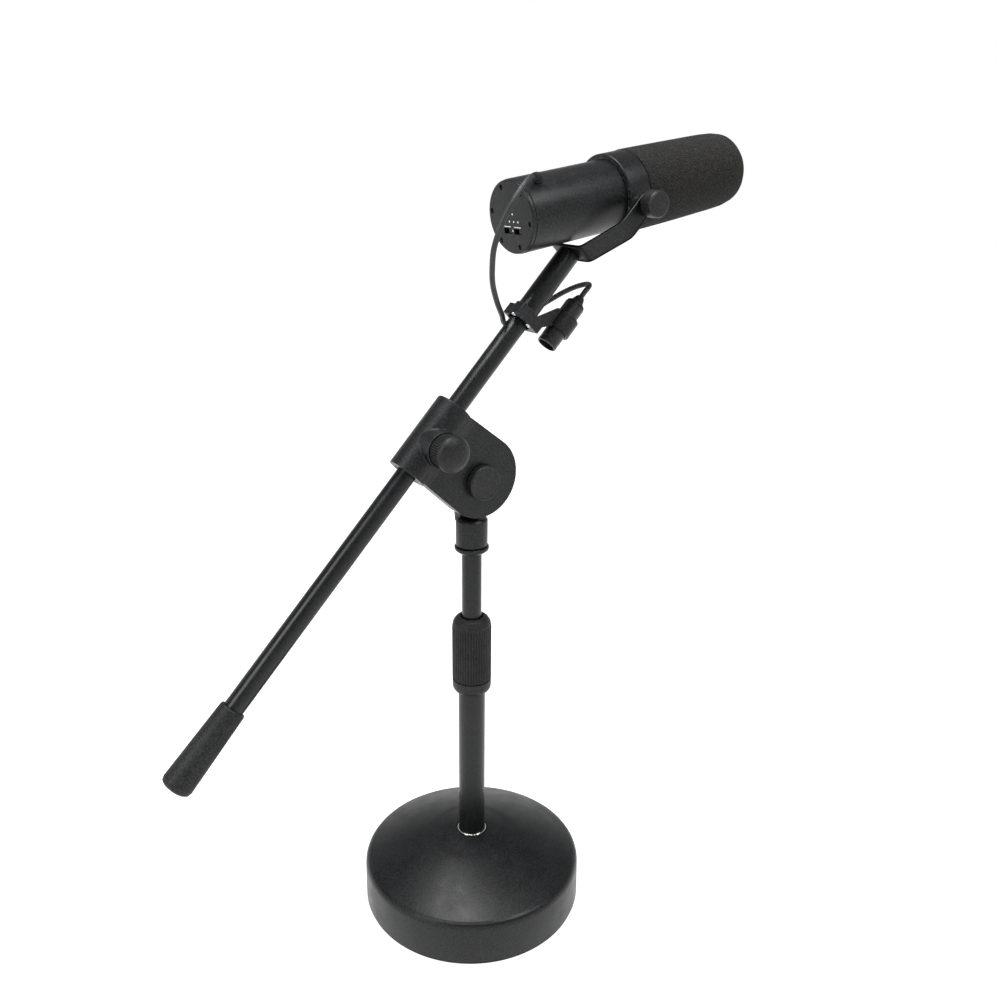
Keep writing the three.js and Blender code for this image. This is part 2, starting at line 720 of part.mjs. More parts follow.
function addYoke(parent) {
  const barrel = [0, 0, BARREL_N];
  node(parent, 'mic_stem', micStem(), blackTube);
  node(parent, 'yoke_bracket', yokeBracket(), powderCoat);
  node(parent, 'stem_screw', stemScrew(), blackSteel);
  node(parent, 'cable_bracket', cableBracket(), powderCoat);
  BRACKET_SCREWS.forEach(([y, n], i) => {
    node(parent, `bracket_screw_${i + 1}`, bracketScrew(), zincSteel, [0, y, n]);
  });
  node(parent, 'connector_barrel', barrelShell(), blackSteel, barrel);
  node(parent, 'connector_insert', connectorInsert(), knobPlastic, barrel);
  node(parent, 'connector_boot', connectorBoot(), rubber, barrel);
}

// Each yoke knob has its screw moulded in; side is -1 in front and 1 behind.
function yokeKnob(side) {
  const profile = [
    [29, 0],
    [29, 2.5],
    [YOKE_ARM + GAP, 2.5],
    [YOKE_ARM + GAP, 7.4],
    [45.4, 10],
    [56, 10.2],
    [57.2, 9.2],
    [57.2, 0],
  ].map(([along, radius]) => [side * along, radius]);
  return turned(profile, 'y', 28);
}

// ---------------------------------------------------------------- microphone, on its own axis
const micBody = () => cut(
  ring([
    [3.3, MIC_BORE],
    [3.3, MIC_RADIUS],
    [108, MIC_RADIUS],
    [108, MIC_BORE],
  ], 'x', WIDE),
  rod(3.4, -40, 40, 'y', FINE).translate(TILT_L, 0, -TILT_DROP),
  rod(2.6, 0, 40, 'y', FINE).rotateX(ELBOW_ANGLE).translate(ELBOW_L, 0, 0),
);

const SCREW_COUNT = 6;
const SCREW_CIRCLE = 22.4;
const screwPlaces = Array.from({ length: SCREW_COUNT }, (unused, i) => {
  const angle = ((i + 0.35) * 2 * Math.PI) / SCREW_COUNT;
  return [0, SCREW_CIRCLE * Math.sin(angle), SCREW_CIRCLE * Math.cos(angle)];
});
const SWITCHES = [['left', -7], ['right', 5]];
const SWITCH_Z = -10;

function rearPlate() {
  const disc = turned([[0, 0], [0, 26], [0.6, 26.6], [3, 26.6], [3, 0]], 'x', WIDE);
  const holes = screwPlaces.map((place) => rod(2, -1, 4, 'x', 12).translate(...place));
  const windows = SWITCHES.map(([, y]) => box([-1, 4], [y - 4.2, y + 4.2], [SWITCH_Z - 2, SWITCH_Z + 2]));
  return cut(disc, ...holes, ...windows);
}

const rearScrew = () => turned([[0.7, 0], [0.7, 1.6], [9, 1.6], [9, 0]], 'x', 12);

function frontRing() {
  const band = ring([
    [RING_START, 27.4],
    [RING_START, RING_RADIUS - 0.8],
    [RING_START + 0.8, RING_RADIUS],
    [RING_END - 0.8, RING_RADIUS],
    [RING_END, RING_RADIUS - 0.8],
    [RING_END, 27.4],
  ], 'x', WIDE);
  const bosses = rod(5, -BOSS_REACH, BOSS_REACH, 'y').translate(TILT_L, 0, -TILT_DROP);
  const inside = rod(27.4, RING_START - 4, RING_END + 1, 'x', WIDE);
  const screwHoles = rod(2.9, -50, 50, 'y', FINE).translate(TILT_L, 0, -TILT_DROP);
  return cut(join(band, bosses), inside, screwHoles);
}

// A basket over the capsule, open towards the body.
const grille = () => turned([
  [200.5, 0],
  [200.5, 19],
  [196, 24],
  [108.3, 24],
  [108.3, 25.4],
  [197, 25.4],
  [202, 19.6],
  [202, 0],
], 'x');

const foamWindscreen = () => turned([
  [202.6, 0],
  [202.6, 20],
  [197.5, 26],
  [FOAM_START, 26],
  [FOAM_START, 31.7],
  [150, 31.3],
  [190, 30.5],
  [211, 29.8],
  [220, 28],
  [225, 23.8],
  [FOAM_END, 16],
  [FOAM_END, 0],
], 'x', 44);

const shockMount = () => ring([[150, 16.3], [150, 23.6], [156, 23.6], [156, 16.3]], 'x');

const transformer = () => turned([[20, 0], [20, 13], [22, 14], [52, 14], [54, 13], [54, 0]], 'x');

const ELBOW_L = 15.5;
const ELBOW_ANGLE = THREE.MathUtils.degToRad(121.8);

// A moulded right-angle strain relief where the lead leaves the body.
const leadElbow = () => sweep([
  [47.6, -14.3, 608.6],
  [47.2, -15.4, 610.4],
  [45.6, -16.6, 611.6],
  [42.9, -17.8, 611.8],
  [39.8, -19.4, 611.3],
], 3.3, 6, 8);

function addMicrophone(parent) {
  node(parent, 'mic_body', micBody(), coatedAlloy);
  node(parent, 'rear_plate', rearPlate(), coatedAlloy);
  screwPlaces.forEach((place, i) => {
    node(parent, `rear_screw_${i + 1}`, rearScrew(), blackSteel, place);
  });
  SWITCHES.forEach(([side, y]) => {
    const slider = box([0.8, 4.6], [y - 3.9, y - 0.3], [SWITCH_Z - 1.7, SWITCH_Z + 1.7]);
    node(parent, `switch_${side}`, slider, knobPlastic);
  });
  node(parent, 'front_ring', frontRing(), coatedAlloy);
  node(parent, 'grille', grille(), coatedAlloy);
  node(parent, 'foam_windscreen', foamWindscreen(), foam);
  node(parent, 'capsule', rod(16, 138, 184, 'x'), bareAlloy);
  node(parent, 'shock_mount', shockMount(), rubber);
  node(parent, 'transformer', transformer(), castIron);
}

// ---------------------------------------------------------------- assembly
const stand = new THREE.Group();
addBase(stand);
addMast(stand);

const boomFrame = new THREE.Group();
boomFrame.position.set(0, 0, BOOM_HEIGHT);
boomFrame.rotation.y = -BOOM_SLOPE;
stand.add(boomFrame);
addBlock(boomFrame);
addBoom(boomFrame);
addYoke(boomFrame);
node(boomFrame, 'yoke_knob_front', yokeKnob(-1), knobPlastic, [TILT_S, 0, 0]);
node(boomFrame, 'yoke_knob_back', yokeKnob(1), knobPlastic, [TILT_S, 0, 0]);

// The microphone's frame starts at the middle of its rear face, behind and above the tilt axis.
const tiltX = TILT_S * Math.cos(BOOM_SLOPE);
const tiltZ = BOOM_HEIGHT + TILT_S * Math.sin(BOOM_SLOPE);
const rearX = tiltX - TILT_L * Math.cos(MIC_SLOPE) - TILT_DROP * Math.sin(MIC_SLOPE);
const rearZ = tiltZ - TILT_L * Math.sin(MIC_SLOPE) + TILT_DROP * Math.cos(MIC_SLOPE);
const micFrame = new THREE.Group();
micFrame.position.set(rearX, 0, rearZ);
micFrame.rotation.y = -MIC_SLOPE;
stand.add(micFrame);
addMicrophone(micFrame);

node(stand, 'lead_elbow', leadElbow(), rubber);
node(stand, 'lead', sweep(LEAD_ROUTE, LEAD_RADIUS, 5, 52), leadJacket);

export default stand;
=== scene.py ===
"""Looks for the desktop microphone stand: detailed meshes and procedural materials on the CAD frame.

Sizes are in millimetres inside this file and in metres in Blender. The boom's own frame runs s up
along the boom and n square to it; the microphone's own frame starts at the middle of its rear face.
"""

import json
import math

import bmesh
import bpy
from mathutils import Matrix, Quaternion, Vector


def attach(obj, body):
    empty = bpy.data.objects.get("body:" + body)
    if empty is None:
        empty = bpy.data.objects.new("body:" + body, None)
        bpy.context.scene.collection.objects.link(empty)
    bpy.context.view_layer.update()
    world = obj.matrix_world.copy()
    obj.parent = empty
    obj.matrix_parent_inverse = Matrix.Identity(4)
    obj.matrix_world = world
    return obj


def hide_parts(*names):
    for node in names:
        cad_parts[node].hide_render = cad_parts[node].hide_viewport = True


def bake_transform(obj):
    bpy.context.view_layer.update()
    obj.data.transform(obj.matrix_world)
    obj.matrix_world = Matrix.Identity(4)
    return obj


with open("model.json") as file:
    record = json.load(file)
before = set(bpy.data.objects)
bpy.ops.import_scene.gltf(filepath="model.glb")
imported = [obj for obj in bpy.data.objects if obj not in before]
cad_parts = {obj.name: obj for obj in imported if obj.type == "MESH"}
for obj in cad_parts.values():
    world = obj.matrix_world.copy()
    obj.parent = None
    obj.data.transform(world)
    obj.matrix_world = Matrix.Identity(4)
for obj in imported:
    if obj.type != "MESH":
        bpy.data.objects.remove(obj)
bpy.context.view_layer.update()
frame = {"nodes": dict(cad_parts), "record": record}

MM = 0.001
SHARP = math.radians(38)

# ---------------------------------------------------------------- dimensions shared with the CAD
BOOM_SLOPE = math.radians(45.05)
BOOM_HEIGHT = 462.2
PIVOT = (-51.2, 0, -51.1)
LOCK = (-55, 0, 0)
TILT = (183.8, 0, 0)
MIC_SLOPE = math.radians(8.3)
TILT_L = 95.5
TILT_DROP = 4.2
BARREL = (0, 0, -34)
BOLT_HOLE = 4.3
HUB_HEIGHT = 65
DOME_DROP = 21.4
DOME_EDGE_RADIUS = 84
DOME_POWER = 1.7
BOOM_START = -352
BOOM_END = 62.8
BOOM_RADIUS = 7.75
BOOM_BORE = 6.55
YOKE_THICKNESS = 3
YOKE_HALF_WIDTH = 8.2
YOKE_FOOT_FACE = 129.4
YOKE_FOOT = 17.6
YOKE_BEND_S = 157.5
YOKE_ARM = 43.5
LEAD_DIAMETER = 4.2
LEAD_ROUTE = [
    (39.5, -19.5, 611.2),
    (34.5, -22.5, 611.0),
    (28.5, -25.0, 608.0),
    (21.5, -27.0, 602.5),
    (14.5, -28.0, 594.5),
    (8.4, -27.0, 584.4),
    (5.0, -25.0, 574.0),
    (3.8, -21.5, 562.5),
    (6.2, -16.7, 549.5),
    (10.5, -11.4, 538.5),
    (17.2, -5.6, 528.2),
    (23.9, -0.5, 519.5),
    (31.6, 5.2, 511.2),
    (37.6, 10.6, 504.4),
    (46.5, 14.8, 501.1),
    (59.4, 18.0, 503.3),
    (77.7, 19.5, 511.2),
    (95.8, 20.5, 517.9),
    (107.8, 20.0, 522.2),
    (115.7, 17.2, 525.2),
    (120.0, 11.5, 527.2),
    (118.6, 5.6, 527.4),
    (113.6, 1.5, 525.9),
    (109.0, 0.1, 523.2),
    (105.2, 0.0, 519.4),
]

WORLD = Matrix.Identity(4)
BOOM = Matrix.Translation((0, 0, BOOM_HEIGHT)) @ Matrix.Rotation(-BOOM_SLOPE, 4, "Y")
tilt_point = BOOM @ Vector(TILT)
MIC = (
    Matrix.Translation(tilt_point)
    @ Matrix.Rotation(-MIC_SLOPE, 4, "Y")
    @ Matrix.Translation((-TILT_L, 0, TILT_DROP))
)
TILT_PLACE = MIC @ Matrix.Translation((TILT_L, 0, -TILT_DROP))


# ---------------------------------------------------------------- camera
def make_camera():
    data = bpy.data.cameras.new("camera")
    data.sensor_width = 36
    data.lens = 36
    data.clip_start = 0.01
    data.clip_end = 50
    camera = bpy.data.objects.new("camera", data)
    bpy.context.scene.collection.objects.link(camera)
    forward = Vector((0.5599, 0.7559, -0.3393))
    roll = Quaternion((0, 0, 1), math.radians(0.52))
    camera.rotation_mode = "QUATERNION"
    camera.rotation_quaternion = forward.to_track_quat("-Z", "Y") @ roll
    camera.location = Vector((-420.8, -602.6, 636.2)) * MM
    bpy.context.scene.camera = camera


make_camera()


# ---------------------------------------------------------------- materials
def node_material(name):
    material = bpy.data.materials.new(name)
    material.use_nodes = True
    tree = material.node_tree
    return material, tree, tree.nodes["Principled BSDF"]


def add_node(tree, kind, **inputs):
    node = tree.nodes.new(kind)
    for key, value in inputs.items():
        node.inputs[key].default_value = value
    return node


def noise_node(tree, scale, detail=3.0, roughness=0.5, stretch=None):
    noise = add_node(tree, "ShaderNodeTexNoise", Scale=scale, Detail=detail, Roughness=roughness)
    place = tree.nodes.new("ShaderNodeTexCoord").outputs["Object"]
    if stretch:
        mapping = add_node(tree, "ShaderNodeMapping", Scale=stretch)
        tree.links.new(place, mapping.inputs["Vector"])
        place = mapping.outputs["Vector"]
    tree.links.new(place, noise.inputs["Vector"])
    return noise


def mix_colours(tree, factor, first, second, low=0.35, high=0.65):
    ramp = tree.nodes.new("ShaderNodeValToRGB")
    ramp.color_ramp.elements[0].position = low
    ramp.color_ramp.elements[0].color = (*first, 1)
    ramp.color_ramp.elements[1].position = high
    ramp.color_ramp.elements[1].color = (*second, 1)
    tree.links.new(factor, ramp.inputs["Fac"])
    return ramp.outputs["Color"]


def finish_material(
    name,
    dark,
    light,
    roughness,
    metallic=0.0,
    specular=0.5,
    patch=35.0,
    grain=1400.0,
    grain_height=0.02,
    coat=0.0,
    edge_highlight=None,
    stretch=None,
    speckle=0.0,
):
    """Two close tones in soft patches, roughness that varies with them, a fine grain and, when given, a
    painted highlight along edges.
    """
    material, tree, shader = node_material(name)
    patches = noise_node(tree, patch, detail=4.0, stretch=stretch)
    colour = mix_colours(tree, patches.outputs["Fac"], dark, light)
    # Painted highlight: a brighter colour is mixed in where pointiness marks convex edges.
    if edge_highlight:
        edges = tree.nodes.new("ShaderNodeNewGeometry")
        level = add_node(tree, "ShaderNodeMapRange")
        level.inputs["From Min"].default_value = 0.54
        level.inputs["From Max"].default_value = 0.66
        level.inputs["To Max"].default_value = 0.6
        tree.links.new(edges.outputs["Pointiness"], level.inputs["Value"])
        mix = tree.nodes.new("ShaderNodeMix")
        mix.data_type = "RGBA"
        tree.links.new(level.outputs["Result"], mix.inputs["Factor"])
        tree.links.new(colour, mix.inputs[6])
        mix.inputs[7].default_value = (*edge_highlight, 1)
        colour = mix.outputs[2]
    fine = noise_node(tree, grain, detail=2.0, stretch=stretch)
    if speckle:
        low, high = 1 - speckle, 1 + speckle
        dots = mix_colours(tree, fine.outputs["Fac"], (low, low, low), (high, high, high), 0.38, 0.62)
        product = tree.nodes.new("ShaderNodeMix")
        product.data_type = "RGBA"
        product.blend_type = "MULTIPLY"
        product.inputs["Factor"].default_value = 1.0
        tree.links.new(colour, product.inputs[6])
        tree.links.new(dots, product.inputs[7])
        colour = product.outputs[2]
    tree.links.new(colour, shader.inputs["Base Color"])
    shader.inputs["Metallic"].default_value = metallic
    shader.inputs["Specular IOR Level"].default_value = specular
    shader.inputs["Coat Weight"].default_value = coat
    shader.inputs["Coat Roughness"].default_value = 0.2
    gloss = noise_node(tree, patch * 2.3, detail=5.0, stretch=stretch)
    spread = add_node(tree, "ShaderNodeMapRange")
    spread.inputs["From Min"].default_value = 0.3
    spread.inputs["From Max"].default_value = 0.7
    spread.inputs["To Min"].default_value = roughness[0]
    spread.inputs["To Max"].default_value = roughness[1]
    tree.links.new(gloss.outputs["Fac"], spread.inputs["Value"])
    tree.links.new(spread.outputs["Result"], shader.inputs["Roughness"])
    bump = add_node(tree, "ShaderNodeBump", Strength=0.6, Distance=grain_height * MM)
    tree.links.new(fine.outputs["Fac"], bump.inputs["Height"])
    tree.links.new(bump.outputs["Normal"], shader.inputs["Normal"])
    return material


def foam_material():
    """Open-cell foam: small dark pores between paler struts, with a faint warm cast."""
    material, tree, shader = node_material("foam_cells")
    cells = add_node(tree, "ShaderNodeTexVoronoi", Scale=760.0, Randomness=1.0)
    place = tree.nodes.new("ShaderNodeTexCoord").outputs["Object"]
    tree.links.new(place, cells.inputs["Vector"])
    strands = mix_colours(
        tree, cells.outputs["Distance"], (0.0006, 0.0006, 0.0006), (0.0150, 0.0147, 0.0134), 0.15, 0.6
    )
    clumps = noise_node(tree, 620.0, detail=4.0, roughness=0.7)
    shade = mix_colours(
        tree, clumps.outputs["Fac"], (0.5, 0.5, 0.5), (1.35, 1.33, 1.28), 0.36, 0.66
    )
    product = tree.nodes.new("ShaderNodeMix")
    product.data_type = "RGBA"
    product.blend_type = "MULTIPLY"
    product.inputs["Factor"].default_value = 1.0
    tree.links.new(strands, product.inputs[6])
    tree.links.new(shade, product.inputs[7])
    tree.links.new(product.outputs[2], shader.inputs["Base Color"])
    shader.inputs["Roughness"].default_value = 0.95
    shader.inputs["Specular IOR Level"].default_value = 0.1
    shader.inputs["Sheen Weight"].default_value = 0.03
    shader.inputs["Sheen Roughness"].default_value = 0.6
    bump = add_node(tree, "ShaderNodeBump", Strength=0.9, Distance=0.5 * MM)
    tree.links.new(cells.outputs["Distance"], bump.inputs["Height"])
    tree.links.new(bump.outputs["Normal"], shader.inputs["Normal"])
    return material


COAT = finish_material(
    "powder_coat",
    (0.0045, 0.0049, 0.0054),
    (0.0065, 0.0070, 0.0076),
    (0.34, 0.44),
    specular=0.24,
    grain=820.0,
    grain_height=0.13,
    speckle=0.9,
    # painted highlight colour for the edges
    edge_highlight=(0.05, 0.052, 0.055),
)
ALLOY_COAT = finish_material(
    "coated_alloy",
    (0.0045, 0.0049, 0.0054),
    (0.0065, 0.0070, 0.0076),
    (0.34, 0.44),
    specular=0.24,
    grain=860.0,
    grain_height=0.12,
    speckle=0.9,
    # painted highlight colour for the edges
    edge_highlight=(0.05, 0.052, 0.055),
)
TUBE_PAINT = finish_material(
    "tube_paint",
    (0.0035, 0.0038, 0.0042),
    (0.0050, 0.0054, 0.0058),
    (0.26, 0.34),
    specular=0.24,
    grain=700.0,
    grain_height=0.03,
    coat=0.08,
    speckle=0.6,
)
KNOB_PLASTIC = finish_material(
    "knob_plastic",
    (0.0055, 0.0058, 0.0063),
    (0.0080, 0.0084, 0.0090),
    (0.40, 0.52),
    specular=0.27,
    grain=900.0,
    grain_height=0.09,
    speckle=0.85,
)
RUBBER = finish_material(
    "rubber",
    (0.0060, 0.0063, 0.0068),
    (0.0090, 0.0095, 0.0100),
    (0.50, 0.64),
    specular=0.24,
    grain=860.0,
    grain_height=0.09,
    speckle=0.8,
)
LEAD_JACKET = finish_material(
    "lead_jacket",
    (0.0120, 0.0127, 0.0138),
    (0.0170, 0.0178, 0.0190),
    (0.40, 0.50),
    specular=0.35,
    patch=60.0,
    grain=1200.0,
    grain_height=0.015,
)
CAST_IRON = finish_material(
    "cast_iron", (0.03, 0.03, 0.032), (0.055, 0.055, 0.057), (0.6, 0.8), 0.7, grain=700.0, grain_height=0.2
)
ZINC = finish_material(
    "zinc_plate",
    (0.42, 0.43, 0.44),
    (0.56, 0.57, 0.58),
    (0.24, 0.36),
    metallic=1.0,
    patch=120.0,
    grain_height=0.004,
)
BRIGHT = finish_material(
    "bright_ring", (0.55, 0.55, 0.55), (0.68, 0.68, 0.67), (0.16, 0.26), metallic=1.0, grain_height=0.003
)
BLACK_STEEL = finish_material(
    "black_oxide",
    (0.012, 0.012, 0.013),
    (0.022, 0.022, 0.024),
    (0.25, 0.36),
    metallic=0.4,
    grain_height=0.01,
)
BARE_ALLOY = finish_material(
    "bare_alloy", (0.40, 0.41, 0.42), (0.5, 0.51, 0.52), (0.3, 0.42), metallic=1.0, grain_height=0.006
)
BRASS = finish_material(
    "brass", (0.42, 0.29, 0.11), (0.5, 0.36, 0.15), (0.22, 0.34), metallic=1.0, grain_height=0.004
)
NYLON = finish_material(
    "nylon", (0.60, 0.58, 0.53), (0.68, 0.66, 0.61), (0.4, 0.55), grain_height=0.01
)
WHITE_PAINT = finish_material(
    "mark_paint", (0.62, 0.62, 0.60), (0.72, 0.72, 0.70), (0.5, 0.6), grain_height=0.005
)
FOAM = foam_material()

SLOT_MATERIALS = {
    "powder_coat": COAT,
    "coated_alloy": ALLOY_COAT,
    "black_tube": TUBE_PAINT,
    "cast_iron": CAST_IRON,
    "zinc_steel": ZINC,
    "bright_ring": BRIGHT,
    "black_steel": BLACK_STEEL,
    "bare_alloy": BARE_ALLOY,
    "brass": BRASS,
    "knob_plastic": KNOB_PLASTIC,
    "nylon": NYLON,
    "rubber": RUBBER,
    "foam": FOAM,
    "lead_jacket": LEAD_JACKET,
}


def dress_cad_nodes():
    """Gives every CAD node the finish of its slot."""
    for part in frame["record"]["subparts"]:
        node = frame["nodes"][part["node"]]
        node.data.materials.clear()
        node.data.materials.append(SLOT_MATERIALS[part["material_slot"]])


dress_cad_nodes()


# ---------------------------------------------------------------- mesh tools
def soften(profile, radius, closed=False, steps=4):
    """Rounds the corners of a [along, radius] profile. An entry may carry its own radius third."""
    count = len(profile)
    result = []
    for i, entry in enumerate(profile):
        corner = Vector(entry[:2])
        reach = entry[2] if len(entry) > 2 else radius
        if reach == 0 or (not closed and i in (0, count - 1)):
            result.append(corner)
            continue
        before = Vector(profile[i - 1][:2]) - corner
        after = Vector(profile[(i + 1) % count][:2]) - corner
        turn = math.pi - before.angle(after, math.pi)
        if turn < math.radians(8):
            result.append(corner)
            continue
        cut = min(reach * math.tan(turn / 2), 0.45 * before.length, 0.45 * after.length)
        start = corner + before.normalized() * cut
        end = corner + after.normalized() * cut
        for k in range(steps + 1):
            t = k / steps
            result.append((1 - t) ** 2 * start + 2 * t * (1 - t) * corner + t * t * end)
    return result


def spin(bm, profile, axis, sides, closed, warp=None):
    """Turns the profile round an axis. warp(along, radius, angle) may return another radius."""
    rings = []
    for along, radius in profile:
        if radius < 1e-6:
            rings.append([place_on_axis(bm, along, 0, 0, axis)])
            continue
        row = []
        for k in range(sides):
            angle = 2 * math.pi * k / sides
            reach = warp(along, radius, angle) if warp else radius
            row.append(place_on_axis(bm, along, reach, angle, axis))
        rings.append(row)
    pairs = list(zip(rings, rings[1:]))
    if closed:
        pairs.append((rings[-1], rings[0]))
    for first, second in pairs:
        if len(first) == 1 and len(second) == 1:
            continue
        for k in range(sides):
            n = (k + 1) % sides
            corners = []
            corners += [first[0]] if len(first) == 1 else [first[k], first[n]]
            corners += [second[0]] if len(second) == 1 else [second[n], second[k]]
            bm.faces.new(corners)


def place_on_axis(bm, along, radius, angle, axis):
    a, b = radius * math.cos(angle), radius * math.sin(angle)
    spots = {"x": (along, a, b), "y": (a, along, b), "z": (a, b, along)}
    return bm.verts.new(spots[axis])


def mesh_object(name, bm, matrix=WORLD, sharp=SHARP):
    bmesh.ops.remove_doubles(bm, verts=bm.verts, dist=1e-4)
    bmesh.ops.recalc_face_normals(bm, faces=bm.faces)
    bm.transform(Matrix.Scale(MM, 4) @ matrix)
    bm.normal_update()
    for face in bm.faces:
        face.smooth = True
    for edge in bm.edges:
        if len(edge.link_faces) == 2 and edge.calc_face_angle() > sharp:
            edge.smooth = False
    data = bpy.data.meshes.new(name)
    bm.to_mesh(data)
    bm.free()
    obj = bpy.data.objects.new(name, data)
    bpy.context.scene.collection.objects.link(obj)
    return obj


def shift(place):
    return Matrix.Translation(place)


def turned(name, profile, axis="z", matrix=WORLD, radius=0.4, sides=96, closed=False, warp=None):
    bm = bmesh.new()
    spin(bm, soften(profile, radius, closed), axis, sides, closed, warp)
    return mesh_object(name, bm, matrix)


def dress(obj, body, material, slot, *nodes):
    """Colours a piece, lets it ride its body and stand for its CAD nodes."""
    obj.data.materials.clear()
    obj.data.materials.append(material)
    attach(obj, body)
    if nodes:
        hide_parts(*nodes)
    return obj


def apply_modifiers(obj):
    depsgraph = bpy.context.evaluated_depsgraph_get()
    data = bpy.data.meshes.new_from_object(obj.evaluated_get(depsgraph))
    obj.modifiers.clear()
    old = obj.data
    obj.data = data
    bpy.data.meshes.remove(old)


def shade_by_angle(obj, sharp=SHARP):
    bm = bmesh.new()
    bm.from_mesh(obj.data)
    for face in bm.faces:
        face.smooth = True
    for edge in bm.edges:
        edge.smooth = not (len(edge.link_faces) == 2 and edge.calc_face_angle() > sharp)
    bm.to_mesh(obj.data)
    bm.free()


def combine(obj, others, operation):
    for other in others:
        modifier = obj.modifiers.new("combine", "BOOLEAN")
        modifier.operation = operation
        modifier.solver = "EXACT"
        modifier.object = other
    bpy.context.view_layer.update()
    apply_modifiers(obj)
    for other in others:
        bpy.data.objects.remove(other)


def melt(obj, voxel, rounds):
    """Remeshes a union in small voxels and relaxes it, so its inner corners run like a casting's."""
    remesh = obj.modifiers.new("remesh", "REMESH")
    remesh.mode = "VOXEL"
    remesh.voxel_size = voxel * MM
    relax = obj.modifiers.new("relax", "SMOOTH")
    relax.factor = 0.5
    relax.iterations = rounds
    bpy.context.view_layer.update()
    apply_modifiers(obj)
    for polygon in obj.data.polygons:
        polygon.use_smooth = True


def slab(name, outline, near, far, matrix=WORLD, bevel=0.0):
    """An (x, z) outline thickened along y from near to far."""
    bm = bmesh.new()
    front = [bm.verts.new((x, near, z)) for x, z in outline]
    back = [bm.verts.new((x, far, z)) for x, z in outline]
    bm.faces.new(front)
    bm.faces.new(list(reversed(back)))
    for i in range(len(outline)):
        n = (i + 1) % len(outline)
        bm.faces.new((front[i], front[n], back[n], back[i]))
    if bevel:
        rims = [e for e in bm.edges if abs(e.verts[0].co.y - e.verts[1].co.y) < 1e-6]
        bmesh.ops.bevel(bm, geom=rims, offset=bevel, segments=3, profile=0.6, affect="EDGES")
    return mesh_object(name, bm, matrix)


def block(name, x, y, z, matrix=WORLD, bevel=0.0):
    bm = bmesh.new()
    middle = Vector(((x[0] + x[1]) / 2, (y[0] + y[1]) / 2, (z[0] + z[1]) / 2))
    size = Matrix.Diagonal((x[1] - x[0], y[1] - y[0], z[1] - z[0], 1))
    bmesh.ops.create_cube(bm, size=1, matrix=Matrix.Translation(middle) @ size)
    if bevel:
        bmesh.ops.bevel(bm, geom=bm.edges[:], offset=bevel, segments=3, profile=0.6, affect="EDGES")
    return mesh_object(name, bm, matrix)


def arc(x, z, radius, start, end, steps):
    """Points of a circular arc, with its angles in degrees."""
    result = []
    for i in range(steps + 1):
        angle = math.radians(start + (end - start) * i / steps)
        result.append((x + radius * math.cos(angle), z + radius * math.sin(angle)))
    return result


# ---------------------------------------------------------------- lead
def spline(points, per_span):
    """Catmull-Rom points through the route, in metres."""
    route = [Vector(p) * MM for p in points]
    route = [2 * route[0] - route[1], *route, 2 * route[-1] - route[-2]]
    line = []
    for i in range(1, len(route) - 2):
        a, b, c, d = route[i - 1 : i + 3]
        for k in range(per_span):
            t = k / per_span
            square = 2 * a - 5 * b + 4 * c - d
            cube = 3 * b - a - 3 * c + d
            line.append(0.5 * (2 * b + (c - a) * t + square * t**2 + cube * t**3))
    line.append(route[-2])
    return line


def sweep(name, line, radius_at, sides=20):
    """A round tube along the points, with its radius in millimetres given by radius_at(fraction)."""
    bm = bmesh.new()
    ahead = (line[1] - line[0]).normalized()
    side = ahead.orthogonal().normalized()
    rings = []
    for i, point in enumerate(line):
        before, after = line[max(i - 1, 0)], line[min(i + 1, len(line) - 1)]
        direction = (after - before).normalized()
        side = (ahead.rotation_difference(direction) @ side).normalized()
        ahead = direction
        across = ahead.cross(side)
        radius = radius_at(i / (len(line) - 1)) * MM
        row = []
        for k in range(sides):
            angle = 2 * math.pi * k / sides
            row.append(bm.verts.new(point + radius * (math.cos(angle) * side + math.sin(angle) * across)))
        rings.append(row)
    for first, second in zip(rings, rings[1:]):
        for k in range(sides):
            n = (k + 1) % sides
            bm.faces.new((first[k], first[n], second[n], second[k]))
    bm.faces.new(rings[0])
    bm.faces.new(rings[-1])
    return mesh_object(name, bm, Matrix.Scale(1 / MM, 4))


def make_lead():
    line = spline(LEAD_ROUTE, 8)
    lead = sweep("lead_cord", line, lambda t: LEAD_DIAMETER / 2)
    lead.data.materials.append(LEAD_JACKET)
    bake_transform(lead)
    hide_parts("lead")


make_lead()


def make_elbow():
    """The moulded strain relief: a collar at the body that tapers down to the lead."""
    route = [
        (47.6, -14.3, 608.6),
        (47.2, -15.4, 610.4),
        (45.6, -16.6, 611.6),
        (42.9, -17.8, 611.8),
        (39.8, -19.4, 611.3),
    ]
    elbow = sweep("lead_elbow_cover", spline(route, 8), lambda t: 3.35 - 0.75 * max(0, t - 0.25))
    dress(elbow, "mic", RUBBER, "rubber", "lead_elbow")


make_elbow()


# ---------------------------------------------------------------- base
def dome_height(radius):
    return HUB_HEIGHT - DOME_DROP * (radius / DOME_EDGE_RADIUS) ** DOME_POWER


def smooth(t):
    t = min(1.0, max(0.0, t))
    return t * t * (3 - 2 * t)


